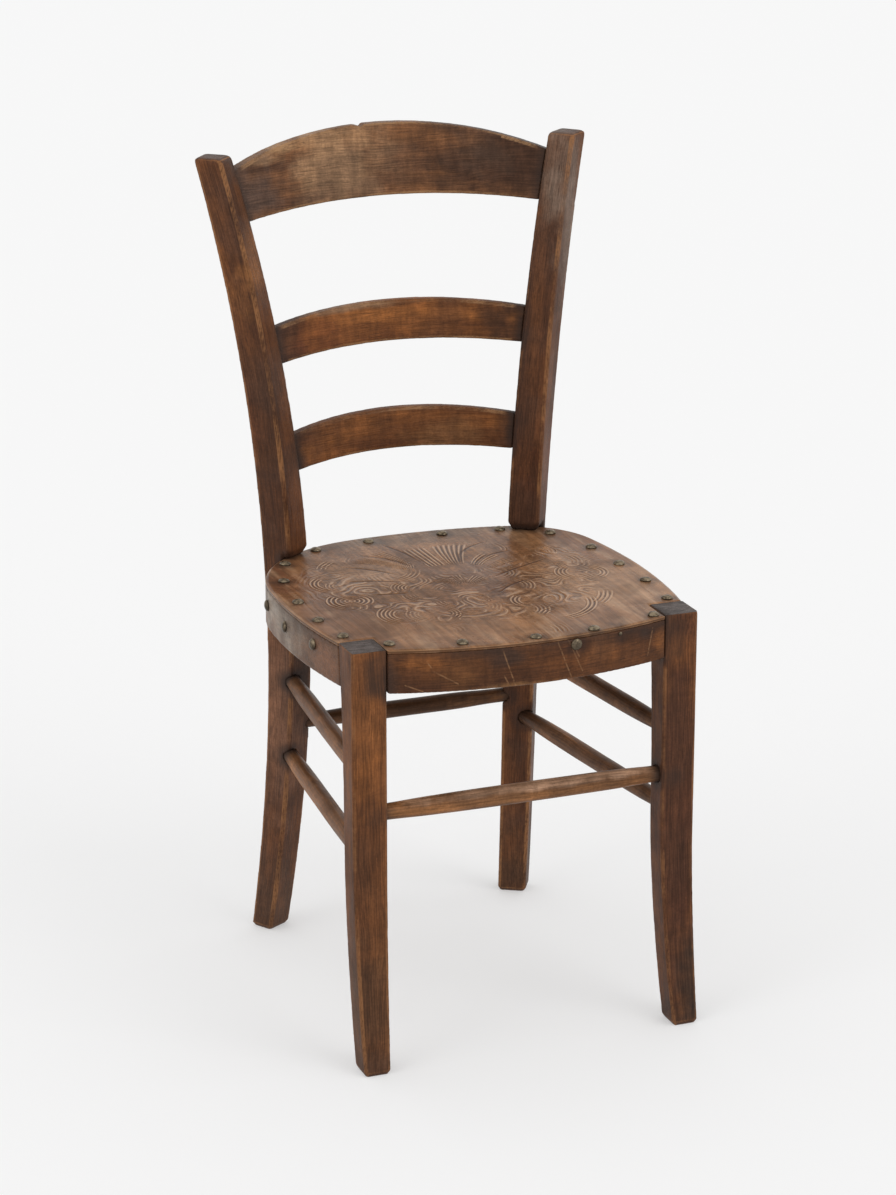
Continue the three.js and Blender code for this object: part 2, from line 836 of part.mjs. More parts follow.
function place(name, geometry, finish) {
  const mesh = new THREE.Mesh(geometry, finish);
  mesh.name = name;
  chair.add(mesh);
}

function placePair(name, geometry, finish) {
  place(`${name}_right`, geometry, finish);
  place(`${name}_left`, mirrored(geometry), finish);
}

const post = geometryOf(jointedPost());
const shoulderCuts = bothSides(shoulderBevel()).map((bevel) => bevel.intersect(seatSpace()));
const postCuts = [seatNotch(), ...shoulderCuts, ...sideHoles];
place('rear_post_right', geometryOf(cut(solid(post), postCuts)), finishes.dark);
place('rear_post_left', geometryOf(cut(solid(mirrored(post)), postCuts)), finishes.dark);
const leg = geometryOf(jointedLeg());
place('front_leg_right', geometryOf(cut(solid(leg), sideHoles)), finishes.frame);
place('front_leg_left', geometryOf(cut(solid(mirrored(leg)), sideHoles)), finishes.frame);
place('seat_hoop', geometryOf(seatHoop()), finishes.dark);
place('front_rail', geometryOf(frontRail()), finishes.dark);
place('seat_panel', geometryOf(seatPanel()), finishes.panel);
backRails.forEach((rail) => place(rail.name, geometryOf(backRail(rail)), finishes.frame));
placePair('corner_block', geometryOf(cornerBlock()), finishes.block);

place(
  'front_stretcher',
  acrossRod(frontStretcherEnd(), frontStretcher, stretcherDepth),
  finishes.frame,
);
place(
  'rear_stretcher',
  acrossRod(rearStretcherEnd(), rearStretcher, postWidth),
  finishes.frame,
);
sideStretchers.forEach((rod) => {
  const [front, rear] = sideStretcherEnds(rod);
  place(rod.name, rodBetween(front, rear, rod, legDepth / 2, postDepth / 2), finishes.frame);
});

[...panelNails, ...frontNails].forEach((nail, i) => {
  const geometry = nailGeometry(nailHeadRadius, nailHeadHeight);
  place(`panel_nail_${i + 1}`, aimed(geometry, nail.start, nail.direction), finishes.nail);
});
hoopFaceNails.forEach((nail, i) => {
  const geometry = nailGeometry(nailHeadRadius, nailHeadHeight);
  place(`hoop_nail_${i + 1}`, aimed(geometry, nail.start, nail.direction), finishes.nail);
});
railFaceNails.forEach((nail, i) => {
  const radius = i === 0 ? nailHeadRadius : bradHeadRadius;
  const geometry = nailGeometry(radius, radius * (nailHeadHeight / nailHeadRadius));
  const name = i === 0 ? 'front_rail_nail' : 'front_rail_brad';
  place(name, aimed(geometry, nail.start, nail.direction), finishes.nail);
});
placePair('post_screw', postScrew(0), finishes.steel);
placePair('block_screw', blockScrew(0), finishes.steel);

// The origin is on the floor under the middle of the chair's box
const box = new THREE.Box3().setFromObject(chair);
const middle = box.getCenter(new THREE.Vector3());
chair.position.set(-middle.x, -middle.y, -box.min.z);

export default chair;
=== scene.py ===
"""An old wooden chair, dressed on its CAD frame: worn stained wood, an embossed seat and aged nails.

Metres, +Z up, the front looks along -Y.
"""

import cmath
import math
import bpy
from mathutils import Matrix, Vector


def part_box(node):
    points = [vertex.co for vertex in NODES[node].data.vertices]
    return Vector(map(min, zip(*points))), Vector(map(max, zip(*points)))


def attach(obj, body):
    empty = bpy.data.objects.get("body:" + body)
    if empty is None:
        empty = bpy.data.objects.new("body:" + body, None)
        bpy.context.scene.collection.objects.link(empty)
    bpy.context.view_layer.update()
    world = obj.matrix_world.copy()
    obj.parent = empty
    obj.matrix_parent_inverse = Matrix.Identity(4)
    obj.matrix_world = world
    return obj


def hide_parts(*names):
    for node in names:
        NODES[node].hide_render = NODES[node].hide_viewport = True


bl_info = {
    "name": "Old wooden chair",
    "version": (1, 0, 0),
    "blender": (4, 5, 0),
    "location": "View3D > Sidebar > Chair",
    "description": "Dresses a chair's frame with worn wood, an embossed seat and aged nails",
    "category": "Object",
}

import bmesh
import bpy
import numpy as np
from bpy.props import FloatProperty, FloatVectorProperty, IntProperty, PointerProperty
from mathutils import Matrix, Vector

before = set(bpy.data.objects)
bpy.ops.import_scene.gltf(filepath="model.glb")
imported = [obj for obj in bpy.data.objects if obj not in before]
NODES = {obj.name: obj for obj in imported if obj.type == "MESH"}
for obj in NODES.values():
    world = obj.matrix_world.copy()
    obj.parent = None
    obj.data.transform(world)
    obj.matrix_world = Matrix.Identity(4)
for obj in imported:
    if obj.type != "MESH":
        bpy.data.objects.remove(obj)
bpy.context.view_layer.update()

MM = 0.001
MERGE_DISTANCE = 0.01 * MM
LEVEL_SLACK = 0.1 * MM

POSTS = ["rear_post_right", "rear_post_left"]
LEGS = ["front_leg_right", "front_leg_left"]
BACK_RAILS = ["crest_rail", "middle_slat", "lower_slat"]
CROSS_RODS = ["front_stretcher", "rear_stretcher"]
SIDE_RODS = [
    f"side_stretcher_{level}_{side}" for level in ("upper", "lower") for side in ("right", "left")
]
BLOCKS = ["corner_block_right", "corner_block_left"]
NAILS = sorted(name for name in NODES if "nail" in name or "brad" in name)
SCREWS = sorted(name for name in NODES if "screw" in name)

SHARP_ANGLE = math.radians(20)
GRAIN_STEP = 0.37
ROD_GRAIN_STEP = 0.51
SEAT_UNDERSIDE, SEAT_TOP = (corner.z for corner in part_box("seat_panel"))


# Properties

class ChairStage(bpy.types.PropertyGroup):
    """Camera, floor and light."""

    camera_place: FloatVectorProperty(
        name="Camera place", description="Where the camera stands", size=3, subtype="TRANSLATION",
        unit="LENGTH", default=(-1.32196, -3.35949, 1.58925))
    camera_azimuth: FloatProperty(
        name="Azimuth", description="Turn of the view round the chair", subtype="ANGLE",
        default=math.radians(-21.379))
    camera_elevation: FloatProperty(
        name="Elevation", description="How far the camera looks down", subtype="ANGLE",
        default=math.radians(17.860))
    lens: FloatProperty(
        name="Lens", description="Focal length in millimetres on a 36 mm sensor", default=107.786)
    floor_half: FloatProperty(
        name="Floor half width", description="Half the side of the floor",
        unit="LENGTH", default=40.0)
    floor_colour: FloatVectorProperty(
        name="Floor", description="Colour of the floor", size=3, subtype="COLOR",
        default=(0.57, 0.57, 0.57))
    floor_glow: FloatProperty(
        name="Floor glow", description="Light that the lit studio floor gives off by itself",
        default=0.36)
    sky: FloatProperty(
        name="Sky", description="Strength of the even white surroundings", default=0.84)
    seen_sky: FloatProperty(
        name="Backdrop", description="Brightness of the white surroundings behind the chair",
        default=0.93)
    right_light: FloatProperty(
        name="Right light", description="Strength of the soft light in front on the right",
        default=0.62)
    left_light: FloatProperty(
        name="Left light", description="Strength of the soft light on the left", default=0.42)
    softness: FloatProperty(
        name="Softness", description="Angle that each soft light fills", subtype="ANGLE",
        default=math.radians(38.0))


class ChairWood(bpy.types.PropertyGroup):
    """Form and wear of the wooden pieces."""

    skin: FloatProperty(
        name="Skin", description="Size of the faces on a worn piece",
        unit="LENGTH", default=1.5 * MM)
    rounding: IntProperty(name="Rounding", description="Passes that soften the arrises", default=1)
    dent: FloatProperty(
        name="Dents", description="Depth of the dents along the arrises",
        unit="LENGTH", default=0.35 * MM)
    waviness: FloatProperty(
        name="Waviness", description="Unevenness that the hand plane left",
        unit="LENGTH", default=0.25 * MM)
    wear_reach: FloatProperty(
        name="Wear reach", description="How far the worn band of an arris spreads",
        unit="LENGTH", default=2.0 * MM)
    # Reach of the grime and painted shade next to a joint
    grime_and_shade_reach: FloatProperty(
        name="Grime and shade reach", description="How far dirt spreads from a joint",
        unit="LENGTH", default=14.0 * MM)
    bump: FloatProperty(
        name="Bump", description="Relief of the grain", unit="LENGTH", default=0.12 * MM)


class ChairSeat(bpy.types.PropertyGroup):
    """Form of the embossed seat."""

    pitch: FloatProperty(
        name="Pitch", description="Spacing of the points on the seat's top",
        unit="LENGTH", default=1.1 * MM)
    rim: FloatProperty(
        name="Rim", description="Width of the seat's rounded edge", unit="LENGTH", default=2.6 * MM)
    rim_drop: FloatProperty(
        name="Rim drop", description="How far the seat's edge is rounded down",
        unit="LENGTH", default=0.9 * MM)
    waviness: FloatProperty(
        name="Waviness", description="Unevenness of the old board", unit="LENGTH", default=1.0 * MM)
    relief: FloatProperty(
        name="Relief", description="Depth of the embossed lines", unit="LENGTH", default=0.85 * MM)
    # Reach of the grime and painted shade round the nails and posts
    halo: FloatProperty(
        name="Halo", description="Reach of the dirt round the nails and posts",
        unit="LENGTH", default=13.0 * MM)


class ChairNails(bpy.types.PropertyGroup):
    """Form of the nail heads."""

    dome: FloatProperty(
        name="Dome", description="Height of a head as a share of its radius", default=0.52)
    rings: IntProperty(name="Rings", description="Rings of faces on a head", default=6)
    sides: IntProperty(name="Sides", description="Sides of a head", default=28)
    seed: IntProperty(
        name="Seed", description="Seed of the small differences between heads", default=7)


# Meshes

def points_of(mesh):
    """The mesh's points as rows of an array."""
    flat = np.empty(len(mesh.vertices) * 3)
    mesh.vertices.foreach_get("co", flat)
    return flat.reshape(-1, 3)


def linked(name, data):
    """A new object of that mesh, lamp or camera, in the scene."""
    piece = bpy.data.objects.new(name, data)
    bpy.context.scene.collection.objects.link(piece)
    return piece


def written(skin, name):
    """The finished mesh of an open one."""
    mesh = bpy.data.meshes.new(name)
    skin.to_mesh(mesh)
    skin.free()
    return mesh


def merged_copy(node):
    """A copy of a CAD node's mesh whose loose triangles are joined."""
    skin = bmesh.new()
    skin.from_mesh(NODES[node].data)
    bmesh.ops.remove_doubles(skin, verts=skin.verts, dist=MERGE_DISTANCE)
    return written(skin, node)


def join_rings(skin, rings):
    """Makes faces between rings of points. A ring of one point is a pole."""
    for lower, upper in zip(rings[:-1], rings[1:]):
        count = max(len(lower), len(upper))
        for i in range(count):
            j = (i + 1) % count
            corners = [
                lower[i % len(lower)], lower[j % len(lower)],
                upper[j % len(upper)], upper[i % len(upper)]]
            skin.faces.new(list(dict.fromkeys(corners)))


def store(mesh, name, values):
    """Keeps a number or a vector for each point under that name."""
    values = np.ascontiguousarray(values, dtype=np.float32)
    kind, field = ("FLOAT_VECTOR", "vector") if values.ndim == 2 else ("FLOAT", "value")
    layer = mesh.attributes.new(name, kind, "POINT")
    layer.data.foreach_set(field, values.ravel())


def baked(piece):
    """Turns the piece's modifiers into a plain mesh."""
    bpy.context.view_layer.update()
    graph = bpy.context.evaluated_depsgraph_get()
    mesh = bpy.data.meshes.new_from_object(piece.evaluated_get(graph))
    piece.modifiers.clear()
    piece.data = mesh
    for polygon in mesh.polygons:
        polygon.use_smooth = True


def run_tree(piece, tree, inputs):
    """Runs a geometry tree on a piece, keeps its result and removes the guide objects."""
    modifier = piece.modifiers.new(tree, "NODES")
    modifier.node_group = bpy.data.node_groups[tree]
    sockets = {
        item.name: item.identifier for item in modifier.node_group.interface.items_tree
        if item.item_type == "SOCKET" and item.in_out == "INPUT"}
    for name, value in inputs.items():
        modifier[sockets[name]] = value
    baked(piece)
    for value in inputs.values():
        if isinstance(value, bpy.types.Object):
            bpy.data.objects.remove(value)


def settle(piece, nodes, material):
    """Gives the piece its material and its place in the frame."""
    piece.data.materials.clear()
    piece.data.materials.append(material)
    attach(piece, "root")
    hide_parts(*nodes)


# Node trees

class Wire:
    """A node's output. A sum on wires adds a node to their tree."""

    def __init__(self, socket):
        self.socket = socket
        self.tree = socket.id_data

    def __add__(self, other):
        return sum_of("ADD", self, other)

    def __sub__(self, other):
        return sum_of("SUBTRACT", self, other)

    def __rsub__(self, other):
        return sum_of("SUBTRACT", other, self)

    def __mul__(self, other):
        return sum_of("MULTIPLY", self, other)

    def __truediv__(self, other):
        return sum_of("DIVIDE", self, other)

    def __abs__(self):
        return sum_of("ABSOLUTE", self)

    def length(self):
        """How long the vector is."""
        return sum_of("LENGTH", self)

    def clamped(self):
        """The result of the sum, kept between 0 and 1."""
        self.socket.node.use_clamp = True
        return self


def holds_three(value):
    """Whether a value is a vector or a colour."""
    if isinstance(value, Wire):
        return value.socket.type in ("VECTOR", "RGBA")
    return isinstance(value, tuple)


def sum_of(operation, first, second=0.0):
    """The result of one sum on numbers, on vectors, or on a vector and a number."""
    tree = first.tree if isinstance(first, Wire) else second.tree
    if not holds_three(first) and not holds_three(second):
        return wire(add(tree, "ShaderNodeMath", {0: first, 1: second}, operation=operation))
    if operation == "LENGTH":
        return wire(add(tree, "ShaderNodeVectorMath", {0: first}, operation=operation))
    if not holds_three(first):
        first, second = second, first
    if not holds_three(second):
        operation = "SCALE"
        return wire(add(tree, "ShaderNodeVectorMath", {0: first, "Scale": second}, operation=operation))
    return wire(add(tree, "ShaderNodeVectorMath", {0: first, 1: second}, operation=operation))


def put(socket, value):
    """Links a wire to an input, or sets the input to a plain value."""
    if isinstance(value, Wire):
        value.tree.links.new(value.socket, socket)
    elif socket.type == "RGBA":
        socket.default_value = (*value[:3], 1.0)
    else:
        socket.default_value = value


def add(tree, kind, inputs=None, **settings):
    """Adds a node, sets it up, and links or sets its inputs by name or by number."""
    made = tree.nodes.new(kind)
    for name, value in settings.items():
        setattr(made, name, value)
    for key, value in (inputs or {}).items():
        if isinstance(key, int):
            socket = made.inputs[key]
        else:
            socket = next(s for s in made.inputs if s.name == key and s.enabled)
        put(socket, value)
    return made


def wire(made, name=None):
    """The node's output of that name that is in use, or its first one in use."""
    return Wire(next(s for s in made.outputs if s.enabled and (name is None or s.name == name)))


def ramp(value, low, high):
    """The value stretched smoothly so that low becomes 0 and high becomes 1."""
    return wire(add(value.tree, "ShaderNodeMapRange", {
        "Value": value, "From Min": low, "From Max": high}, interpolation_type="SMOOTHSTEP"))


def mixed(share, first, second):
    """Two colours mixed, with that share of the second."""
    made = add(share.tree, "ShaderNodeMix", {0: share, 6: first, 7: second}, data_type="RGBA")
    return Wire(made.outputs[2])


def noise(place, scale, detail=3.0, roughness=0.55, distortion=0.0):
    """Soft noise between 0 and 1."""
    return Wire(add(place.tree, "ShaderNodeTexNoise", {
        "Vector": place, "Scale": scale, "Detail": detail, "Roughness": roughness,
        "Distortion": distortion}).outputs[0])


def parts(vector):
    """The three numbers of a vector."""
    return [Wire(socket) for socket in add(vector.tree, "ShaderNodeSeparateXYZ", {0: vector}).outputs]


def joined(**numbers):
    """A vector of the numbers given as X, Y and Z."""
    tree = next(iter(numbers.values())).tree
    return wire(add(tree, "ShaderNodeCombineXYZ", numbers))


def new_tree(name, kind, inputs, outputs):
    """An empty node group, its inputs as wires by name, and its last node.

    An input is given by its kind of socket, or by the default of a plain number.
    """
    tree = bpy.data.node_groups.new(name, kind)
    for label, form in inputs.items():
        plain = isinstance(form, float)
        socket = tree.interface.new_socket(
            label, in_out="INPUT", socket_type="NodeSocket" + ("Float" if plain else form))
        if plain:
            socket.default_value = form
    for label in outputs:
        form = "Geometry" if label == "Geometry" else "Float"
        tree.interface.new_socket(label, in_out="OUTPUT", socket_type="NodeSocket" + form)
    start = add(tree, "NodeGroupInput")
    return {label: Wire(start.outputs[label]) for label in inputs}, add(tree, "NodeGroupOutput")


def give(end, **results):
    """Links results to a group's outputs."""
    for name, value in results.items():
        put(end.inputs[name], value)


def placed(group, **inputs):
    """The outputs of a shader group that is placed in the tree of its first input."""
    tree = next(iter(inputs.values())).tree
    made = add(tree, "ShaderNodeGroup", inputs, node_tree=bpy.data.node_groups[group])
    return {socket.name: Wire(socket) for socket in made.outputs}


# Shader groups

def grain_group():
    """Lines, bands, pores and cross figure of wood whose fibres run along the third direction."""
    given, end = new_tree("Wood grain", "ShaderNodeTree", {"Grain": "Vector", "Fineness": 260.0},
                          ("Broad", "Lines", "Pores", "Figure"))
    grain = given["Grain"]
    broad = noise(grain * (1.0, 1.0, 0.12), 38.0, roughness=0.5, distortion=0.6)
    sway = noise(grain * (1.0, 1.0, 0.35), 24.0, detail=1.0) * 0.014
    swayed = grain * (1.0, 1.0, 0.022) + sway * (1.0, 1.0, 0.0)
    lines = noise(swayed, given["Fineness"], detail=2.0)
    pores = noise(grain * (1.0, 1.0, 0.06), 900.0, detail=2.0, roughness=0.5)
    figure = noise(grain * (0.22, 0.22, 1.0), 150.0, roughness=0.6)
    give(end, Broad=ramp(broad, 0.36, 0.66), Lines=ramp(lines, 0.34, 0.66),
         Pores=ramp(pores, 0.55, 0.72), Figure=ramp(figure, 0.36, 0.66))


def wear_group():
    """Where hands and cloth have rubbed the finish off the arrises, here and there."""
    given, end = new_tree("Edge wear", "ShaderNodeTree",
                          {"Worn": "Float", "Place": "Vector", "Amount": 0.5}, ("Rubbed",))
    patches = ramp(noise(given["Place"], 16.0), 0.35, 0.68)
    broken = noise(given["Place"], 230.0, detail=4.0, roughness=0.7)
    reach = patches * 0.55 + broken * 0.85
    give(end, Rubbed=ramp(given["Worn"] * (reach * given["Amount"]), 0.2, 0.95))


def patina_group():
    """Broad blotches of old stain and fine specks of dirt."""
    given, end = new_tree("Patina", "ShaderNodeTree", {"Place": "Vector", "Size": 14.0},
                          ("Blotches", "Specks"))
    blotches = noise(given["Place"], given["Size"], detail=4.0, distortion=0.4)
    specks = noise(given["Place"], 330.0, detail=2.0)
    give(end, Blotches=ramp(blotches, 0.4, 0.64), Specks=ramp(specks, 0.66, 0.76))


def patch_group():
    """A soft oval place on the surface, with a ragged edge."""
    given, end = new_tree("Patch", "ShaderNodeTree", {
        "Place": "Vector", "Centre": "Vector", "Reach": "Vector", "Ragged": 0.85}, ("Mask",))
    away = ((given["Place"] - given["Centre"]) / given["Reach"]).length()
    ragged = (noise(given["Place"], 34.0) - 0.5) * (given["Ragged"] * 2.0)
    give(end, Mask=ramp(away + ragged, 1.25, 0.25))


def scratch_group():
    """A straight scratch between two points, seen from the front."""
    given, end = new_tree("Scratch", "ShaderNodeTree", {
        "Place": "Vector", "From": "Vector", "To": "Vector", "Half Width": 1.0 * MM}, ("Mark",))
    here = given["Place"] * (1.0, 0.0, 1.0) - given["From"]
    along = given["To"] - given["From"]
    share = (sum_of("DOT_PRODUCT", here, along) / sum_of("DOT_PRODUCT", along, along)).clamped()
    distance = (here - along * share).length()
    broken = noise(given["Place"], 260.0, detail=2.0)
    give(end, Mark=ramp(distance / given["Half Width"], 1.0, 0.3) * ramp(broken, 0.3, 0.6))


# Finishes: colours are linear red, green and blue

ORANGE = (0.33, 0.115, 0.028)
HONEY = (0.3, 0.15, 0.06)
# Dark grime, and the colour of the painted shade next to joints
SOOT_AND_SHADE = (0.03, 0.02, 0.016)
REDDISH = (0.13, 0.035, 0.012)
WHITE = (1.0, 1.0, 1.0)

# Each finish darkens next to the joints by its own share: grime and painted shade
FINISHES = {
    "post": {
        "dark": (0.066, 0.025, 0.011), "warm": (0.132, 0.048, 0.017), "pale": (0.3, 0.135, 0.052),
        "grey": (0.07, 0.037, 0.025), "blotch": 0.4, "worn": 1.0, "figure": 0.05, "lines": 0.22,
        "rough": 0.42, "end": 0.5, "fine": 820.0, "dirt_and_shade": 1.0,
    },
    "leg": {
        "dark": (0.09, 0.033, 0.012), "warm": (0.158, 0.058, 0.019), "pale": (0.27, 0.12, 0.048),
        "grey": (0.06, 0.028, 0.016), "blotch": 0.3, "worn": 0.9, "figure": 0.05, "lines": 0.28,
        "rough": 0.42, "end": 0.95, "fine": 700.0, "dirt_and_shade": 1.0,
    },
    "crest": {
        "dark": (0.088, 0.037, 0.017), "warm": (0.185, 0.077, 0.03), "pale": (0.36, 0.2, 0.095),
        "grey": (0.09, 0.052, 0.034), "blotch": 0.45, "worn": 1.0, "figure": 0.14, "lines": 0.2,
        "rough": 0.32, "end": 0.0, "fine": 760.0, "dirt_and_shade": 1.0,
    },
    "slat": {
        "dark": (0.092, 0.031, 0.01), "warm": (0.25, 0.09, 0.024), "pale": (0.33, 0.18, 0.085),
        "grey": (0.07, 0.032, 0.018), "blotch": 0.45, "worn": 0.9, "figure": 0.14, "lines": 0.13,
        "rough": 0.38, "end": 0.0, "fine": 760.0, "dirt_and_shade": 1.0,
    },
    "rail": {
        "dark": (0.062, 0.023, 0.009), "warm": (0.13, 0.046, 0.014), "pale": (0.27, 0.14, 0.065),
        "grey": (0.05, 0.021, 0.011), "blotch": 0.5, "worn": 0.9, "figure": 0.14, "lines": 0.15,
        "rough": 0.36, "end": 0.0, "fine": 700.0, "dirt_and_shade": 0.6,
    },
    "hoop": {
        "dark": (0.095, 0.046, 0.025), "warm": (0.145, 0.07, 0.036), "pale": (0.27, 0.125, 0.06),
        "grey": (0.11, 0.07, 0.048), "blotch": 0.5, "worn": 0.8, "figure": 0.06, "lines": 0.12,
        "rough": 0.32, "end": 0.0, "fine": 620.0, "dirt_and_shade": 0.45,
    },
    "rod": {
        "dark": (0.14, 0.06, 0.023), "warm": (0.29, 0.125, 0.046), "pale": (0.34, 0.2, 0.11),
        "grey": (0.09, 0.046, 0.024), "blotch": 0.45, "worn": 0.3, "figure": 0.08, "lines": 0.22,
        "rough": 0.34, "end": 0.0, "fine": 560.0, "dirt_and_shade": 1.0,
    },
    "block": {
        "dark": (0.3, 0.19, 0.1), "warm": (0.42, 0.28, 0.16), "pale": (0.5, 0.36, 0.22),
        "grey": (0.25, 0.18, 0.12), "blotch": 0.3, "worn": 0.2, "figure": 0.1, "lines": 0.2,
        "rough": 0.7, "end": 0.0, "fine": 400.0, "dirt_and_shade": 1.0,
    },
}

# Patches of other colour, stains and some painted light: middle, reach in each direction (metres),
# colour and strength
PATCHES = {
    "crest": (
        # Pale band along the top edge on the left, in this patch and the next three: rubbed wear with a
        # painted highlight
        ((-0.145, 0.2, 0.869), (0.03, 0.08, 0.007), (0.3, 0.17, 0.085), 0.75),
        ((-0.112, 0.2, 0.88), (0.03, 0.08, 0.007), (0.32, 0.18, 0.085), 0.8),
        ((-0.08, 0.2, 0.884), (0.035, 0.08, 0.011), (0.28, 0.14, 0.06), 0.8),
        ((-0.042, 0.2, 0.889), (0.03, 0.08, 0.009), (0.28, 0.13, 0.05), 0.75),
        ((-0.05, 0.2, 0.858), (0.065, 0.08, 0.055), (0.36, 0.205, 0.105), 0.8),
        ((-0.16, 0.2, 0.84), (0.05, 0.08, 0.04), (0.08, 0.05, 0.038), 0.8),
        ((0.01, 0.2, 0.845), (0.04, 0.08, 0.03), (0.15, 0.072, 0.036), 0.5),
        # Painted shade over the right half
        ((0.14, 0.2, 0.845), (0.1, 0.08, 0.07), (0.045, 0.02, 0.011), 0.9),
    ),
    "slat": (
        ((-0.05, 0.16, 0.704), (0.07, 0.08, 0.005), (0.2, 0.13, 0.08), 0.6),
        ((0.035, 0.16, 0.685), (0.05, 0.08, 0.025), ORANGE, 0.45),
        ((0.0, 0.14, 0.565), (0.17, 0.1, 0.035), (0.1, 0.037, 0.015), 0.5),
        ((0.06, 0.16, 0.56), (0.06, 0.08, 0.02), HONEY, 0.25),
        ((-0.155, 0.16, 0.64), (0.05, 0.09, 0.25), (0.045, 0.022, 0.015), 0.85),
        ((0.16, 0.16, 0.64), (0.06, 0.09, 0.25), (0.03, 0.013, 0.007), 0.92),
        ((-0.08, 0.16, 0.68), (0.05, 0.08, 0.02), REDDISH, 0.45),
    ),
    "post": (
        ((-0.2, 0.19, 0.77), (0.03, 0.04, 0.07), ORANGE, 0.35),
        ((-0.185, 0.2, 0.87), (0.02, 0.05, 0.045), (0.065, 0.048, 0.041), 0.8),
        ((-0.19, 0.15, 0.6), (0.04, 0.04, 0.05), REDDISH, 0.4),
        ((0.18, 0.15, 0.52), (0.05, 0.05, 0.07), REDDISH, 0.45),
        ((0.19, 0.18, 0.79), (0.026, 0.05, 0.13), (0.2, 0.137, 0.1), 0.85),
        ((-0.172, 0.17, 0.76), (0.02, 0.05, 0.06), (0.24, 0.095, 0.03), 0.8),
        ((-0.16, 0.15, 0.62), (0.02, 0.06, 0.08), (0.062, 0.027, 0.013), 0.6),
        ((0.217, 0.2, 0.8), (0.012, 0.05, 0.12), ORANGE, 0.3),
        ((-0.165, 0.13, 0.5), (0.03, 0.05, 0.06), (0.055, 0.022, 0.011), 0.6),
        ((-0.15, 0.19, 0.03), (0.05, 0.06, 0.1), (0.07, 0.038, 0.022), 0.55),
        ((0.15, 0.19, 0.03), (0.05, 0.06, 0.08), (0.05, 0.026, 0.014), 0.7),
        ((-0.15, 0.14, 0.28), (0.05, 0.06, 0.14), (0.22, 0.105, 0.06), 0.65),
        # Painted shade on the inner faces of the posts under the seat, in this patch and the next
        ((-0.126, 0.14, 0.33), (0.02, 0.05, 0.09), (0.03, 0.015, 0.009), 0.85),
        ((0.152, 0.14, 0.25), (0.018, 0.05, 0.05), (0.03, 0.014, 0.008), 0.6),
    ),
    "leg": (
        ((-0.175, -0.21, 0.36), (0.03, 0.04, 0.08), ORANGE, 0.35),
        ((0.17, -0.21, 0.22), (0.04, 0.05, 0.3), (0.062, 0.023, 0.012), 0.9),
        ((0.17, -0.21, 0.41), (0.02, 0.04, 0.02), ORANGE, 0.25),
        ((-0.173, -0.21, 0.07), (0.04, 0.04, 0.09), (0.065, 0.032, 0.015), 0.6),
        ((-0.173, -0.21, 0.0), (0.04, 0.04, 0.03), SOOT_AND_SHADE, 0.5),
        ((0.184, -0.215, 0.04), (0.022, 0.04, 0.07), (0.03, 0.018, 0.012), 0.8),
        ((0.173, -0.21, 0.0), (0.04, 0.04, 0.03), SOOT_AND_SHADE, 0.5),
    ),
    "rail": (
        ((-0.12, -0.22, 0.438), (0.03, 0.03, 0.012), ORANGE, 0.5),
        ((-0.155, -0.22, 0.42), (0.02, 0.03, 0.03), SOOT_AND_SHADE, 0.7),
        ((-0.08, -0.22, 0.42), (0.03, 0.03, 0.02), (0.15, 0.06, 0.02), 0.5),
        ((-0.035, -0.22, 0.435), (0.022, 0.03, 0.014), SOOT_AND_SHADE, 0.75),
        ((0.02, -0.22, 0.415), (0.03, 0.03, 0.02), (0.14, 0.05, 0.016), 0.5),
        ((0.07, -0.22, 0.43), (0.02, 0.03, 0.02), (0.2, 0.08, 0.03), 0.4),
        ((0.148, -0.22, 0.425), (0.014, 0.03, 0.016), ORANGE, 0.6),
        ((0.125, -0.22, 0.437), (0.012, 0.03, 0.009), SOOT_AND_SHADE, 0.9),
        ((-0.03, -0.22, 0.403), (0.08, 0.03, 0.005), HONEY, 0.5),
    ),
    "hoop": (
        ((-0.185, -0.14, 0.42), (0.03, 0.04, 0.03), (0.19, 0.08, 0.04), 0.5),
        # Painted sheen: a pale, silvery reflection on the left end
        ((-0.21, -0.01, 0.43), (0.03, 0.085, 0.035), (0.36, 0.3, 0.235), 0.7),
    ),
    "rod": (
        # Painted highlight along the top of the front stretcher
        ((0.02, -0.19, 0.2815), (0.165, 0.03, 0.0055), (0.5, 0.3, 0.19), 0.75),
        # Painted shade, in this patch and the four after it: the rear stretcher, the rear ends of the
        # side stretchers and the side stretchers under the seat
        ((0.0, 0.147, 0.256), (0.26, 0.03, 0.03), (0.042, 0.018, 0.008), 0.85),
        ((-0.138, 0.15, 0.265), (0.03, 0.06, 0.09), (0.045, 0.02, 0.01), 0.75),
        ((0.14, 0.14, 0.25), (0.03, 0.07, 0.1), (0.045, 0.02, 0.01), 0.8),
        ((0.165, -0.11, 0.28), (0.03, 0.08, 0.09), (0.045, 0.021, 0.011), 0.8),
        ((-0.15, 0.02, 0.31), (0.03, 0.12, 0.03), (0.09, 0.04, 0.02), 0.4),
    ),
}

# Scratches on the front rail: from and to, across and up from the rail's middle, in metres
RAIL_SCRATCHES = (
    ((-0.0375, 0.019), (-0.0235, -0.021)),
    ((0.022, 0.02), (0.037, -0.018)),
    ((0.034, 0.02), (0.05, -0.014)),
    ((0.038, 0.018), (0.046, 0.002)),
    ((-0.108, 0.002), (-0.083, -0.013)),
    ((-0.114, 0.012), (-0.108, 0.003)),
    ((0.135, 0.016), (0.129, -0.012)),
    ((-0.036, -0.008), (-0.03, -0.02)),
    ((-0.135, -0.012), (-0.118, -0.019)),
)


# Materials

SHEEN = 0.13
END_GRAIN = (0.1, 0.082, 0.075)
GRIT_DEPTH = 0.15 * MM


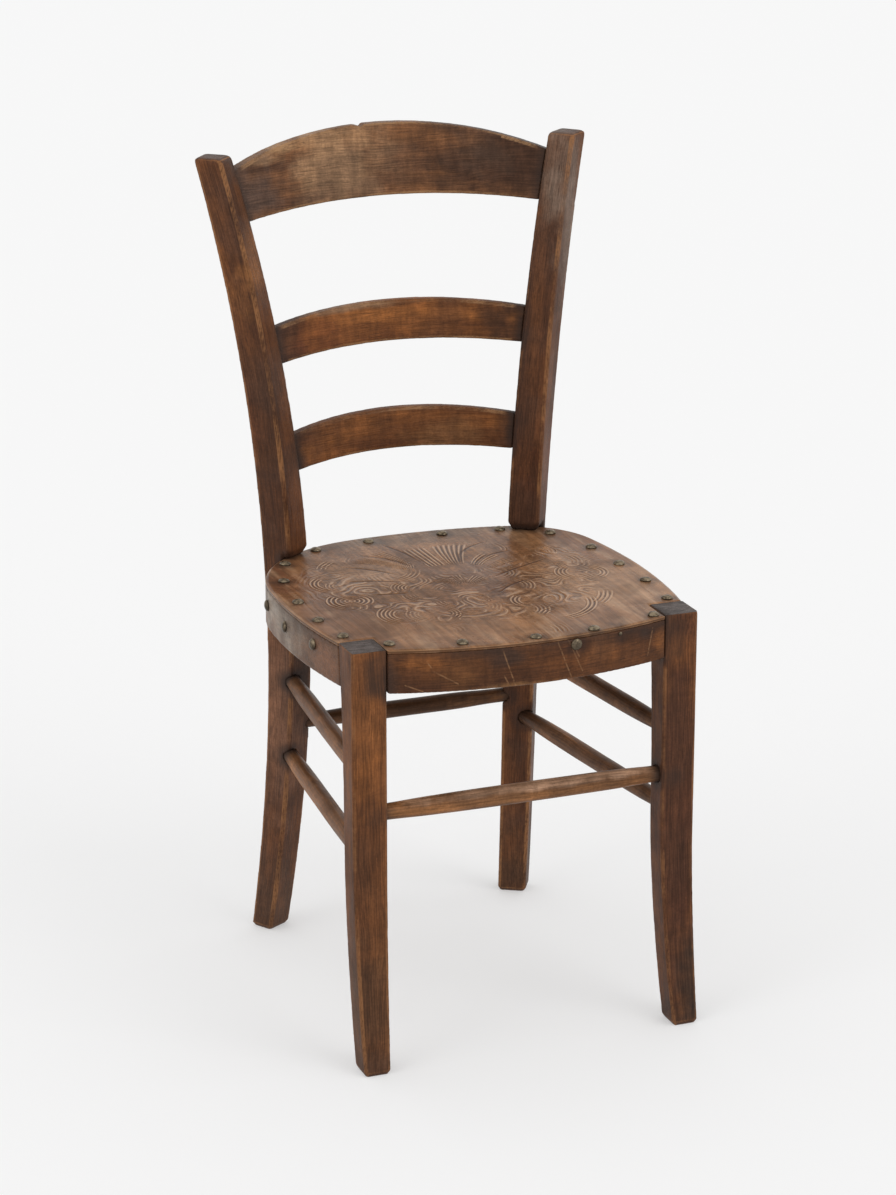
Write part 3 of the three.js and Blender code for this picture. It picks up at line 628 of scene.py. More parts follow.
def principled(name):
    """The shader of a new material."""
    material = bpy.data.materials.new(name)
    material.use_nodes = True
    shader = material.node_tree.nodes["Principled BSDF"]
    put(shader.inputs["Specular IOR Level"], SHEEN)
    return shader


def feed(shader, colour, roughness, height, depth):
    """Feeds colour, roughness and relief into a shader."""
    put(shader.inputs["Base Color"], colour)
    put(shader.inputs["Roughness"], roughness)
    relief = add(shader.id_data, "ShaderNodeBump", {
        "Height": height, "Strength": 1.0, "Distance": depth})
    put(shader.inputs["Normal"], wire(relief))


def surface(tree):
    """The place on a piece, in metres, and how far its surface faces up."""
    told = add(tree, "ShaderNodeTexCoord")
    return Wire(told.outputs["Object"]), parts(Wire(told.outputs["Normal"]))[2]


def known(tree, name, output="Fac"):
    """What the mesh holds under that name, for a material."""
    return Wire(add(tree, "ShaderNodeAttribute", attribute_name=name).outputs[output])


def with_patches(colour, place, patches):
    """Mixes soft patches into a colour."""
    for centre, reach, tint, strength in patches:
        mask = placed("Patch", Place=place, Centre=centre, Reach=reach)["Mask"]
        colour = mixed(mask * strength, colour, tint)
    return colour


def about_one(value, spread):
    """A factor that goes from 1 less the spread to 1 plus the spread as the value goes from 0 to 1."""
    return value * (2.0 * spread) + (1.0 - spread)


def old_wood(name, look, bump, patches=(), scratches=()):
    """Stained and waxed wood, darker in its pores, darker at its joints with grime and painted shade,
    and paler where it is rubbed.
    """
    shader = principled(name)
    tree = shader.id_data
    place, upright = surface(tree)
    grain = known(tree, "grain", "Vector")
    fibres = placed("Wood grain", Grain=grain, Fineness=look["fine"])
    patina = placed("Patina", Place=place)
    colour = mixed(fibres["Broad"], look["dark"], look["warm"])
    # Stains, and on some pieces patches of painted highlight, sheen and shade
    colour = with_patches(colour, place, patches)
    colour = mixed(patina["Blotches"] * look["blotch"], colour, look["grey"])
    clouds = noise(grain * (1.0, 1.0, 0.45), 85.0, detail=5.0, roughness=0.7) * 1.1 + 0.45
    mottle = noise(place, 420.0, roughness=0.65) * 0.8 + 0.6
    figure = about_one(fibres["Figure"], look["figure"])
    lines = about_one(fibres["Lines"], look["lines"])
    colour = colour * (figure * lines * (mottle * clouds))
    pore_colour = tuple(0.4 * part for part in look["dark"])
    colour = mixed(fibres["Pores"] * 0.5, colour, pore_colour)
    rubbed = placed("Edge wear", Place=place, Worn=known(tree, "worn"), Amount=look["worn"])["Rubbed"]
    for first, last in scratches:
        mark = placed("Scratch", Place=place, From=first, To=last)["Mark"]
        rubbed = sum_of("MAXIMUM", rubbed, mark * 0.75)
    colour = mixed(rubbed * 0.75, colour, look["pale"])
    ends = ramp(abs(upright), 0.75, 0.95)
    sawn = ramp(noise(place * (1.0, 7.0, 1.0), 110.0), 0.35, 0.65)
    colour = mixed(ends * look["end"], colour, (sawn + 0.4) * END_GRAIN)
    # Grime and painted shade next to the other pieces, with dark specks
    dirt_and_shade = known(tree, "near") * ((patina["Blotches"] * 0.4 + 0.5) * look["dirt_and_shade"])
    colour = mixed(sum_of("MAXIMUM", dirt_and_shade, patina["Specks"] * 0.3), colour, SOOT_AND_SHADE)
    rough = fibres["Lines"] * 0.08 + look["rough"] + patina["Blotches"] * 0.1
    feed(shader, colour, rough, fibres["Pores"] * -0.6 + fibres["Lines"], bump)


# Worn pieces

def near_object(item, reach, target="FACES"):
    """1 next to an object's mesh, fading to 0 at some distance."""
    shape = wire(add(item.tree, "GeometryNodeObjectInfo", {"Object": item}), "Geometry")
    away = add(item.tree, "GeometryNodeProximity", {"Geometry": shape}, target_element=target)
    return ramp(wire(away, "Distance") / reach, 1.0, 0.0)


def kept_as(name, value, geometry):
    """The geometry with a number kept for each point under that name."""
    return wire(add(geometry.tree, "GeometryNodeStoreNamedAttribute", {
        "Geometry": geometry, "Name": name, "Value": value}, data_type="FLOAT", domain="POINT"))


def recalled(tree, name, form="FLOAT"):
    """What is kept for each point under that name."""
    return wire(add(tree, "GeometryNodeInputNamedAttribute", {"Name": name}, data_type=form))


def moved(geometry, **places):
    """The geometry with its points at a Position or moved by an Offset."""
    return wire(add(geometry.tree, "GeometryNodeSetPosition", {"Geometry": geometry, **places}))


def finish_tree(end, geometry, material):
    """Ends a geometry tree with real points and a material."""
    whole = wire(add(geometry.tree, "GeometryNodeRealizeInstances", {"Geometry": geometry}))
    give(end, Geometry=wire(add(geometry.tree, "GeometryNodeSetMaterial", {
        "Geometry": whole, "Material": material})))


def surroundings(name, nodes):
    """One object that holds the CAD meshes of some nodes."""
    skin = bmesh.new()
    for node in nodes:
        skin.from_mesh(NODES[node].data)
    return linked(name, written(skin, name))


def arrises(mesh):
    """An object that holds the outward edges of a mesh."""
    skin = bmesh.new()
    skin.from_mesh(mesh)
    sharp = [edge for edge in skin.edges
             if len(edge.link_faces) == 2 and edge.calc_face_angle_signed() > SHARP_ANGLE]
    ends = [tuple(vertex.co) for edge in sharp for vertex in edge.verts]
    skin.free()
    lines = bpy.data.meshes.new("arrises")
    lines.from_pydata(ends, [(2 * i, 2 * i + 1) for i in range(len(sharp))], [])
    return linked("arrises", lines)


def hand_wear_tree():
    """Softens a dense skin, dents its arrises and keeps where it is worn and where grime and painted
    shade gather next to other pieces.
    """
    given, end = new_tree("Hand wear", "GeometryNodeTree", {
        "Geometry": "Geometry", "Arrises": "Object", "Neighbours": "Object", "Rounding": "Int",
        "Wear Reach": "Float", "Grime And Shade Reach": "Float", "Dent": "Float", "Waviness": "Float",
        "Seed": "Float", "Material": "Material"}, ("Geometry",))
    tree = end.id_data
    place = wire(add(tree, "GeometryNodeInputPosition"))
    normal = wire(add(tree, "GeometryNodeInputNormal"))
    # Closeness to the other pieces, kept as near: grime and painted shade at the joints
    near = near_object(given["Neighbours"], given["Grime And Shade Reach"])
    clean = (1.0 - near * 1.6).clamped()
    worn = near_object(given["Arrises"], given["Wear Reach"], "EDGES") * clean
    marked = kept_as("worn", worn, kept_as("near", near, given["Geometry"]))
    soft = wire(add(tree, "GeometryNodeBlurAttribute", {
        "Value": place, "Iterations": given["Rounding"]}, data_type="FLOAT_VECTOR"))
    shifted = place + given["Seed"] * (3.0, 5.0, 7.0)
    chips = ramp(noise(shifted, 42.0, roughness=0.6), 0.54, 0.75)
    bite = chips * recalled(tree, "worn") * given["Dent"]
    wave = (noise(shifted, 16.0, detail=2.0) - 0.5) * given["Waviness"]
    dented = moved(moved(marked, Position=soft), Offset=normal * (wave - bite))
    finish_tree(end, dented, given["Material"])


def worn_skin(name, node, mesh, seed, material, remesh=True):
    """A dense copy of a piece with soft arrises and dents, which knows its worn places and where grime
    and painted shade gather.
    """
    wood = bpy.context.scene.chair_wood
    piece = linked(name, mesh)
    if remesh:
        even = piece.modifiers.new("Even skin", "REMESH")
        even.mode = "VOXEL"
        even.voxel_size = wood.skin
    run_tree(piece, "Hand wear", {
        "Arrises": arrises(mesh),
        "Neighbours": surroundings("neighbours", [other for other in NODES if other != node]),
        "Rounding": wood.rounding if remesh else 0,
        "Wear Reach": wood.wear_reach,
        "Grime And Shade Reach": wood.grime_and_shade_reach,
        "Dent": wood.dent if remesh else 0.0,
        "Waviness": wood.waviness,
        "Seed": float(seed),
        "Material": material,
    })
    return piece


def centre_line(points, along, degree=4, bins=40):
    """Smooth middle of a piece in the two other directions, as a function of one direction."""
    others = [i for i in range(3) if i != along]
    marks = np.linspace(points[:, along].min(), points[:, along].max(), bins + 1)
    middles = []
    for low, high in zip(marks[:-1], marks[1:]):
        inside = points[(points[:, along] >= low) & (points[:, along] <= high)]
        if len(inside):
            ends = inside[:, others]
            middles.append([(low + high) / 2, *((ends.min(0) + ends.max(0)) / 2)])
    middles = np.array(middles)
    curves = [np.polyfit(middles[:, 0], middles[:, i + 1], degree) for i in range(2)]
    return lambda t: np.stack([np.polyval(curve, t) for curve in curves], axis=1)


def upright_grain(points, shift):
    """Grain that follows a post or a leg up its bend."""
    middle = centre_line(points, 2)(points[:, 2])
    return np.column_stack([points[:, :2] - middle, points[:, 2]]) + shift


def board_grain(points, shift):
    """Grain of a board that is bowed back, sawn straight along its length."""
    middle = centre_line(points, 0)(points[:, 0])
    return np.column_stack([points[:, 1] - middle[:, 0], points[:, 2], points[:, 0]]) + shift


def hoop_grain(points, shift):
    """Grain that runs round the seat."""
    centre = np.array([0.0, (points[:, 1].min() + points[:, 1].max()) / 2])
    flat = points[:, :2] - centre
    angle = np.arctan2(flat[:, 0], flat[:, 1])
    radius = np.linalg.norm(flat, axis=1)
    return np.column_stack([radius, points[:, 2], angle * radius.mean()]) + shift


def dress(node, finish, grain, seed, shape=None):
    """Replaces a wooden CAD node with its worn copy."""
    material = bpy.data.materials[f"{finish} wood"]
    piece = worn_skin(f"worn_{node}", node, merged_copy(node), seed, material)
    points = points_of(piece.data)
    if shape:
        points = shape(points)
        piece.data.vertices.foreach_set("co", points.ravel())
        piece.data.update()
    store(piece.data, "grain", grain(points, GRAIN_STEP * (seed + 1)))
    settle(piece, [node], material)


def worn_crest(points):
    """Cuts the small nick in the crest's top and the soft chamfer beside it."""
    nick_place = -0.021
    nick_depth = 3.2 * MM
    nick_half = 5 * MM
    nick_slopes = (9 * MM, 3 * MM)
    nick_curve = 1.4
    chamfer_far = -0.165
    chamfer_depth = 7.5 * MM
    chamfer_curve = 0.7
    chamfer_slope = 1.1
    share_beside_nick = 0.8
    share_down = 0.5
    share_back = 0.45
    reach = 12 * MM
    section_count = 80
    x, y, z = points.T
    marks = np.linspace(x.min(), x.max(), section_count + 1)
    middles = (marks[:-1] + marks[1:]) / 2
    sections = [points[(x >= a) & (x <= b)] for a, b in zip(marks[:-1], marks[1:])]
    tops = [section[:, 2].max() for section in sections]
    fronts = [section[section[:, 2] > top - reach][:, 1].min() for section, top in zip(sections, tops)]
    top = np.interp(x, middles, tops)
    front = np.interp(x, middles, fronts)
    share = np.clip((x - chamfer_far) / (nick_place - chamfer_far), 0, 1)
    depth = np.where(x < nick_place, chamfer_depth * share ** chamfer_curve, 0.0)
    depth = np.where(x < nick_place - 2 * nick_half, depth, depth * share_beside_nick)
    over = z - (top - depth) - chamfer_slope * (y - front)
    cut = np.clip(over, 0, None) * (depth > 0)
    away = x - nick_place
    near = np.clip(1 - np.abs(away) / np.where(away < 0, *nick_slopes), 0, 1) ** nick_curve
    high = np.clip(1 - (top - z) / reach, 0, 1)
    shaped = points.copy()
    shaped[:, 1] += cut * share_back
    shaped[:, 2] -= cut * share_down + nick_depth * near * high
    return shaped


# Rods

def rod_form(node):
    """A rod's middle, its axis, the stations along it and the radius at each of them."""
    decimals = 4
    slack = 0.2 * MM
    points = points_of(merged_copy(node))
    middle = points.mean(0)
    away = points - middle
    axis = np.linalg.svd(away, full_matrices=False)[2][0]
    along = away @ axis
    across = np.linalg.norm(away - np.outer(along, axis), axis=1)
    stations = np.unique(along.round(decimals))
    radii = [across[np.abs(along - station) < slack].max() for station in stations]
    return middle, axis, stations, np.array(radii)


def turned_rod(node, seed, material):
    """A rod with a fine round skin on the CAD rod's own profile."""
    sides = 40
    step = 3 * MM
    smoothed = 7
    sharp_ends = 6
    flatness = 0.012
    middle, axis, stations, radii = rod_form(node)
    count = int((stations[-1] - stations[0]) / step)
    along = np.linspace(stations[0], stations[-1], count)
    radius = np.interp(along, stations, radii)
    inner = slice(sharp_ends, -sharp_ends)
    radius[inner] = np.convolve(radius, np.ones(smoothed) / smoothed, "same")[inner]
    side = np.cross(axis, [0.0, 0.0, 1.0])
    side /= np.linalg.norm(side)
    up = np.cross(side, axis)
    rng = np.random.default_rng(seed)
    flats = 1 + flatness * np.sin(rng.uniform(2, 4) * np.linspace(0, 6, count) + rng.uniform(0, 6))
    skin = bmesh.new()
    rings = []
    for t, r, flat in zip(along, radius, flats):
        turns = [math.tau * i / sides for i in range(sides)]
        spots = [side * math.cos(turn) * flat + up * math.sin(turn) / flat for turn in turns]
        rings.append([skin.verts.new(middle + axis * t + r * spot) for spot in spots])
    join_rings(skin, rings)
    skin.faces.new(list(reversed(rings[0])))
    skin.faces.new(rings[-1])
    bmesh.ops.recalc_face_normals(skin, faces=skin.faces)
    piece = worn_skin(f"turned_{node}", node, written(skin, node), seed, material, remesh=False)
    points = points_of(piece.data) - middle
    grain = np.column_stack([points @ side, points @ up, points @ axis])
    store(piece.data, "grain", grain + ROD_GRAIN_STEP * (seed + 1))
    settle(piece, [node], material)


# Seat

def seat_outline():
    """The seat panel's outline, in order, from the CAD node."""
    level = 0.9
    steep = 0.5
    skin = bmesh.new()
    skin.from_mesh(merged_copy("seat_panel"))
    skin.normal_update()
    rim = {}
    for edge in skin.edges:
        if len(edge.link_faces) != 2:
            continue
        ups = [face.normal.z for face in edge.link_faces]
        on_top = all(v.co.z > SEAT_TOP - LEVEL_SLACK for v in edge.verts)
        if on_top and max(ups) > level and min(ups) < steep:
            a, b = (v.index for v in edge.verts)
            rim.setdefault(a, []).append(b)
            rim.setdefault(b, []).append(a)
    places = {v.index: v.co.copy() for v in skin.verts}
    skin.free()
    loops = []
    left = set(rim)
    while left:
        loop = [left.pop()]
        while True:
            following = [i for i in rim[loop[-1]] if i in left]
            if not following:
                break
            loop.append(following[0])
            left.discard(following[0])
        loops.append(loop)
    loop = max(loops, key=len)
    outline = np.array([places[i][:2] for i in loop])
    x, y = outline.T
    area = np.sum(x * np.roll(y, -1) - y * np.roll(x, -1))
    return outline if area > 0 else outline[::-1]


def inside_outline(points, outline):
    """Which points lie inside a closed outline."""
    least = 1e-12
    inside = np.zeros(len(points), bool)
    for a, b in zip(outline, np.roll(outline, -1, axis=0)):
        crosses = (a[1] > points[:, 1]) != (b[1] > points[:, 1])
        rise = b[1] - a[1] if abs(b[1] - a[1]) > least else least
        inside ^= crosses & (points[:, 0] < a[0] + (points[:, 1] - a[1]) * (b[0] - a[0]) / rise)
    return inside


def nearest_on_outline(points, outline):
    """The nearest place on a closed outline to each point."""
    least = 1e-14
    best = np.full(len(points), np.inf)
    nearest = points.copy()
    for a, b in zip(outline, np.roll(outline, -1, axis=0)):
        along = b - a
        length = along @ along
        if length < least:
            continue
        share = np.clip((points - a) @ along / length, 0, 1)
        spot = a + share[:, None] * along
        distance = ((points - spot) ** 2).sum(1)
        closer = distance < best
        best[closer] = distance[closer]
        nearest[closer] = spot[closer]
    return nearest


def seat_board_mesh(seat):
    """The seat board: a fine grid on top, trimmed to the outline, with plain sides and underside."""
    outline = seat_outline()
    row_pitch = 1.25 * seat.pitch
    low = outline.min(0) - seat.pitch
    high = outline.max(0) + seat.pitch
    xs = np.arange(low[0], high[0], seat.pitch)
    ys = np.arange(low[1], high[1], row_pitch)
    grid = np.stack(np.meshgrid(xs, ys, indexing="ij"), axis=-1).reshape(-1, 2)
    kept = inside_outline(grid, outline).reshape(len(xs), len(ys))
    cells = kept[:-1, :-1] & kept[1:, :-1] & kept[1:, 1:] & kept[:-1, 1:]
    numbers = np.full(kept.shape, -1)
    used = np.zeros(kept.shape, bool)
    for i, j in ((0, 0), (1, 0), (1, 1), (0, 1)):
        used[i:i + cells.shape[0], j:j + cells.shape[1]] |= cells
    numbers[used] = np.arange(used.sum())
    flat = grid.reshape(len(xs), len(ys), 2)[used]
    i, j = np.nonzero(cells)
    faces = np.column_stack([
        numbers[i, j], numbers[i + 1, j], numbers[i + 1, j + 1], numbers[i, j + 1]])
    mesh = bpy.data.meshes.new("seat_board")
    tops = np.column_stack([flat, np.full(len(flat), SEAT_TOP)])
    mesh.from_pydata(tops.tolist(), [], faces.tolist())
    skin = bmesh.new()
    skin.from_mesh(mesh)
    rim = [v for v in skin.verts if v.is_boundary]
    spots = nearest_on_outline(np.array([v.co[:2] for v in rim]), outline)
    for vertex, spot in zip(rim, spots):
        vertex.co.x, vertex.co.y = spot
    border = [edge for edge in skin.edges if edge.is_boundary]
    for height in ((SEAT_TOP + SEAT_UNDERSIDE) / 2, SEAT_UNDERSIDE):
        walls = bmesh.ops.extrude_edge_only(skin, edges=border)["geom"]
        border = [item for item in walls if isinstance(item, bmesh.types.BMEdge) and item.is_boundary]
        for vertex in {v for edge in border for v in edge.verts}:
            vertex.co.z = height
    bmesh.ops.contextual_create(skin, geom=border)
    bmesh.ops.recalc_face_normals(skin, faces=skin.faces)
    skin.to_mesh(mesh)
    skin.free()
    points = points_of(mesh)
    on_top = points[:, 2] > SEAT_TOP - LEVEL_SLACK
    store(mesh, "relief", ornament_height(points[:, :2] / MM) * on_top)
    return mesh, outline


# The seat's ornament, in millimetres and degrees on the seat: a fan of ribbed leaves over a small fan,
# long pressed lines that sweep to both sides, and rippled scrolls round them

# Ribs: hub, direction, inner and outer end, spread, lines, bend, strength
RIBS = (
    ((4, -159), 92.3, 195, 271, 6.2, 5, 0, 1.2),
    ((9, -12), 80, 46, 128, 20, 7, -3, 1.2),
    ((7, -20), 58.8, 54, 100, 14, 5, -6, 1.2),
    ((9, -20), 41.5, 48, 92, 11, 4, -5, 1.0),
    ((9, -20), 27, 46, 70, 10, 3, -4, 0.9),
    ((-23, 5), 100, 34, 112, 10, 4, 5, 1.2),
    ((-20, 10), 118, 27, 104, 14, 5, 9, 1.2),
    ((2, -50), 113, 18, 54, 20, 4, 4, 0.9),
    ((0, -52), 88, 22, 56, 17, 4, 0, 0.9),
    ((-6, -47), 51, 18, 50, 26, 5, -5, 0.9),
    ((118, -32), 84, 12, 42, 18, 4, 6, 0.8),
    ((6, -112), 96, 16, 44, 24, 5, 3, 0.6),
)

# Ripples: centre, direction, middle radius, spacing, lines, span, strength
RIPPLES = (
    ((-122, 18), 175, 27, 4.2, 3, 115, 1.0),
    ((-117, 8), 180, 19, 3.8, 3, 80, 0.8),
    ((-80, 55), 142, 47, 4.5, 3, 38, 0.8),
    ((-60, 80), 155, 30, 4.2, 2, 40, 0.6),
    ((-66, 40), -45, 33, 4.5, 4, 75, 0.7),
    ((-130, -43), 0, 10, 4.6, 4, 800, 0.9),
    ((-128, -43), 180, 24, 4.4, 3, 115, 1.2),
    ((-132, -42), 5, 22, 4.2, 2, 105, 0.9),
    ((-53, -24), 155, 18, 3.8, 5, 90, 1.0),
    ((-50, -50), 192, 20, 4.0, 4, 65, 0.8),
    ((-86, -106), 178, 29, 4.2, 5, 105, 1.0),
    ((-66, -114), 180, 23, 4.2, 4, 90, 0.6),
    ((-64, -114), -8, 21, 3.8, 3, 100, 0.9),
    ((-22, -104), -5, 25, 4.2, 4, 80, 0.6),
    ((50, -108), 165, 23, 4.2, 3, 85, 1.0),
    ((36, -50), 5, 27, 4.2, 4, 110, 0.8),
    ((45, -115), -42, 59, 4.4, 3, 85, 1.2),
    ((60, -85), -33, 71, 4.6, 4, 38, 0.9),
    ((134, -38), -10, 21, 4.2, 3, 135, 1.0),
    ((134, -36), 180, 25, 4.2, 4, 115, 0.8),
    ((105, 50), 5, 28, 4.2, 3, 55, 0.7),
    ((50, 78), 3, 36, 4.6, 2, 48, 0.7),
    ((110, 10), -3, 34, 4.4, 3, 60, 0.8),
    ((0, -200), -3, 36, 4.6, 4, 40, 0.6),
    ((-78, -168), 10, 18, 4.4, 3, 80, 0.5),
    ((-20, -80), 200, 26, 4.0, 3, 60, 0.7),
    ((-30, -150), 95, 30, 4.6, 3, 75, 0.6),
    ((62, -172), 105, 32, 4.6, 3, 65, 0.6),
    ((20, -130), -20, 26, 4.2, 4, 80, 0.7),
    ((100, -22), 95, 26, 4.6, 3, 65, 0.6),
    ((-100, 60), 115, 26, 4.2, 3, 60, 0.6),
    ((-95, -78), 262, 24, 4.4, 3, 65, 0.5),
)

# Pressed lines: three points each
GROOVE_HALF_WIDTH = 2.2
GROOVE_STRENGTH = 1.2
GROOVES = (
    ((-14, 50), (-20, 92), (-36, 140)),
    ((-31, 46), (-44, 80), (-70, 104)),
    ((-54, 22), (-74, 51), (-102, 72)),
    ((-60, 0), (-86, 14), (-118, 20)),
    ((-62, -38), (-84, -35), (-106, -29)),
    ((24, 40), (42, 80), (82, 104)),
    ((34, 24), (56, 52), (88, 62)),
    ((38, -18), (76, 4), (118, 24)),
    ((28, -66), (56, -44), (108, -36)),
)


def eased(value, low, high):
    """0 at low, 1 at high and smooth between them."""
    share = np.clip((value - low) / (high - low), 0, 1)
    return share * share * (3 - 2 * share)


def around(points, centre, turn):
    """Distance of each point from a centre, and its angle away from a direction."""
    away = points - np.array(centre)
    angle = np.arctan2(away[:, 1], away[:, 0]) - turn
    return np.hypot(away[:, 0], away[:, 1]), (angle + math.pi) % math.tau - math.pi


def ribs(points, hub, turn, inner, outer, spread, lines, bend):
    """Lines that spread out from a hub and bend as they go: 1 on a line and -1 between two."""
    radius, angle = around(points, hub, math.radians(turn))
    along = (radius - inner) / (outer - inner)
    across = (np.degrees(angle) - bend * along ** 2) / spread
    sides = eased(np.abs(across), 0.52, 0.46)
    ends = eased(along, 0.0, 0.1) * eased(along, 1.0, 0.8)
    return np.cos(across * lines * math.tau) * sides * ends


def ripples(points, centre, turn, middle, spacing, lines, span):
    """Arcs side by side round a centre: 1 on a line and -1 between two."""
    radius, angle = around(points, centre, math.radians(turn))
    across = (radius - middle) / spacing
    sides = eased(lines / 2 + 0.15 - np.abs(across), 0.0, 0.35)
    ends = eased(np.abs(np.degrees(angle)) / span, 0.52, 0.36)
    return np.cos((across + (lines + 1) / 2) * math.tau) * sides * ends


def pressed_line(points, first, middle, last, half_width):
    """One pressed line on the arc through three points, thinner towards its ends: -1 in its middle."""
    a, b, c = (complex(*spot) for spot in (first, middle, last))
    share = (c - a) / (b - a)
    centre = a - (a - b) * (share - abs(share) ** 2) / 2j / share.imag
    turn = cmath.phase(b - centre)
    reach = abs(cmath.phase((c - centre) / (a - centre)))
    radius, angle = around(points, (centre.real, centre.imag), turn)
    share = np.abs(angle) / reach
    width = half_width * eased(share, 0.56, 0.2) + 0.01
    return -eased(np.abs(radius - abs(a - centre)) / width, 1.0, 0.1) * eased(share, 0.53, 0.47)


def ornament_height(points):
    """The seat's ornament as a height between about -1 and 1, for points in millimetres."""
    height = np.zeros(len(points))
    for *form, strength in RIBS:
        height += strength * ribs(points, *form)
    for *form, strength in RIPPLES:
        height += strength * ripples(points, *form)
    for spots in GROOVES:
        height += GROOVE_STRENGTH * pressed_line(points, *spots, GROOVE_HALF_WIDTH)
    return height


def board_tree():
    """Warps an old board, rounds its edge over and keeps where grime and painted shade gather round the
    posts and nails.
    """
    given, end = new_tree("Old board", "GeometryNodeTree", {
        "Geometry": "Geometry", "Outline": "Object", "Neighbours": "Object", "Rim": "Float",
        "Rim Drop": "Float", "Waviness": "Float", "Relief": "Float", "Halo": "Float", "Top": "Float",
        "Material": "Material"}, ("Geometry",))
    tree = end.id_data
    place = wire(add(tree, "GeometryNodeInputPosition"))
    on_top = sum_of("GREATER_THAN", parts(place)[2], given["Top"] - LEVEL_SLACK)
    rim = near_object(given["Outline"], given["Rim"], "EDGES")
    # Closeness to the posts and nails, kept as near: grime and painted shade round them
    near = near_object(given["Neighbours"], given["Halo"])
    marked = kept_as("near", near, kept_as("rim", rim, given["Geometry"]))
    wave = (noise(place, 8.0, detail=1.0) - 0.5) * given["Waviness"]
    pressed = recalled(tree, "relief") * (given["Relief"] * 0.5)
    lift = (pressed + wave - rim * given["Rim Drop"]) * on_top
    finish_tree(end, moved(marked, Offset=joined(Z=lift)), given["Material"])


def outline_mesh(outline):
    """A closed line at the height of the seat's top."""
    mesh = bpy.data.meshes.new("seat outline")
    spots = [(*spot, SEAT_TOP) for spot in outline]
    mesh.from_pydata(spots, [(i, (i + 1) % len(spots)) for i in range(len(spots))], [])
    return mesh


# The pale colour for the ridges is a painted highlight and the pressed colour is painted shade in the
# grooves
SEAT_LOOK = {
    "dark": (0.175, 0.081, 0.037), "warm": (0.26, 0.126, 0.056), "scuff": (0.42, 0.26, 0.155),
    "pores": (0.06, 0.03, 0.018), "ridge_highlight": (0.52, 0.34, 0.22), "pressed": (0.055, 0.024, 0.014),
    "rim": (0.5, 0.29, 0.15), "side": (0.1, 0.045, 0.02),
}

# Where the fan lies on the seat: middle and reach in metres
FAN = ((0.0, 0.08, SEAT_TOP), (0.12, 0.07, 0.1))

# Patches on the seat: middle and reach in metres, colour and strength
SEAT_PATCHES = (
    ((-0.18, 0.07, 0.45), (0.05, 0.1, 0.1), (0.12, 0.045, 0.025), 0.6),
    ((-0.19, -0.1, 0.45), (0.03, 0.09, 0.1), (0.24, 0.13, 0.08), 0.5),
    ((0.18, 0.06, 0.45), (0.035, 0.09, 0.1), (0.17, 0.07, 0.035), 0.45),
    ((0.0, 0.155, 0.45), (0.16, 0.035, 0.1), (0.12, 0.085, 0.06), 0.55),
    ((-0.09, 0.02, 0.45), (0.06, 0.07, 0.1), (0.3, 0.16, 0.075), 0.4),
    ((0.13, -0.09, 0.45), (0.08, 0.11, 0.1), (0.38, 0.21, 0.11), 0.6),
    ((-0.02, -0.175, 0.45), (0.13, 0.05, 0.1), (0.32, 0.17, 0.09), 0.55),
    ((-0.14, -0.05, 0.45), (0.04, 0.05, 0.1), (0.13, 0.065, 0.04), 0.45),
    ((0.02, -0.02, 0.45), (0.06, 0.08, 0.1), (0.135, 0.062, 0.032), 0.65),
)


def seat_board(name, look, bump):
    """Embossed board: mottled stain, with a painted highlight on the ridges and painted shade in the
    pressed lines.
    """
    swirl_rings = 17
    shader = principled(name)
    tree = shader.id_data
    place, upright = surface(tree)
    x, y, z = parts(place)
    turned = joined(X=x, Y=z, Z=y)
    uneven = ramp(noise(place, 45.0, detail=2.0), 0.3, 0.6) * 0.5 + 0.75
    height = known(tree, "relief") * uneven
    field = ramp((place * (1.0, 1.0, 0.0)).length(), 0.18, 0.14)
    rings = noise(place, 19.0, detail=1.0, roughness=0.4) * (math.tau * swirl_rings)
    swirls = sum_of("COSINE", rings) * ramp(noise(place, 33.0, detail=2.0), 0.36, 0.54)
    fan = placed("Patch", Place=place, Centre=FAN[0], Reach=FAN[1], Ragged=0.2)["Mask"]
    swirls = swirls * ramp(sum_of("MAXIMUM", abs(height), fan), 0.3, 0.0) * field
    height = swirls * 0.7 + height
    fibres = placed("Wood grain", Grain=turned, Fineness=200.0)
    patina = placed("Patina", Place=place, Size=13.0)
    fine = placed("Patina", Place=place, Size=60.0)
    colour = mixed(fibres["Broad"], look["dark"], look["warm"])
    colour = with_patches(colour, place, SEAT_PATCHES)
    scuffs = ramp(noise(turned * (1.0, 1.0, 0.16), 75.0, roughness=0.6), 0.48, 0.68)
    colour = mixed(scuffs * (field * -0.3 + 0.45), colour, look["scuff"])
    tone = (fibres["Lines"] * 0.3 + 0.85) * (fine["Blotches"] * -0.22 + 1.08)
    ground = ramp(noise(place, 150.0, detail=2.0, roughness=0.6, distortion=1.6), 0.42, 0.6)
    tone = tone * (patina["Blotches"] * -0.25 + 1.08) * ((ground * 0.36 - 0.18) * field + 1.0)
    colour = mixed(fibres["Pores"] * 0.25, colour * tone, look["pores"])
    # Painted highlight on the ridges and painted shade in the pressed lines
    colour = mixed(ramp(height, 0.3, 0.9) * 0.8, colour, look["ridge_highlight"])
    colour = mixed(ramp(height, -0.3, -0.9) * 0.8, colour, look["pressed"])
    colour = mixed(ramp(known(tree, "rim"), 0.75, 1.0) * 0.8, colour, look["rim"])
    colour = mixed(ramp(abs(upright), 0.7, 0.3) * 0.85, colour, look["side"])
    # Grime and painted shade round the posts and nails
    colour = mixed(known(tree, "near") * (fine["Blotches"] * 0.3 + 0.3), colour, SOOT_AND_SHADE)
    rough = patina["Blotches"] * 0.12 + 0.27
    feed(shader, colour, rough, swirls * 1.7 + fibres["Lines"], bump)


# Nails and screws

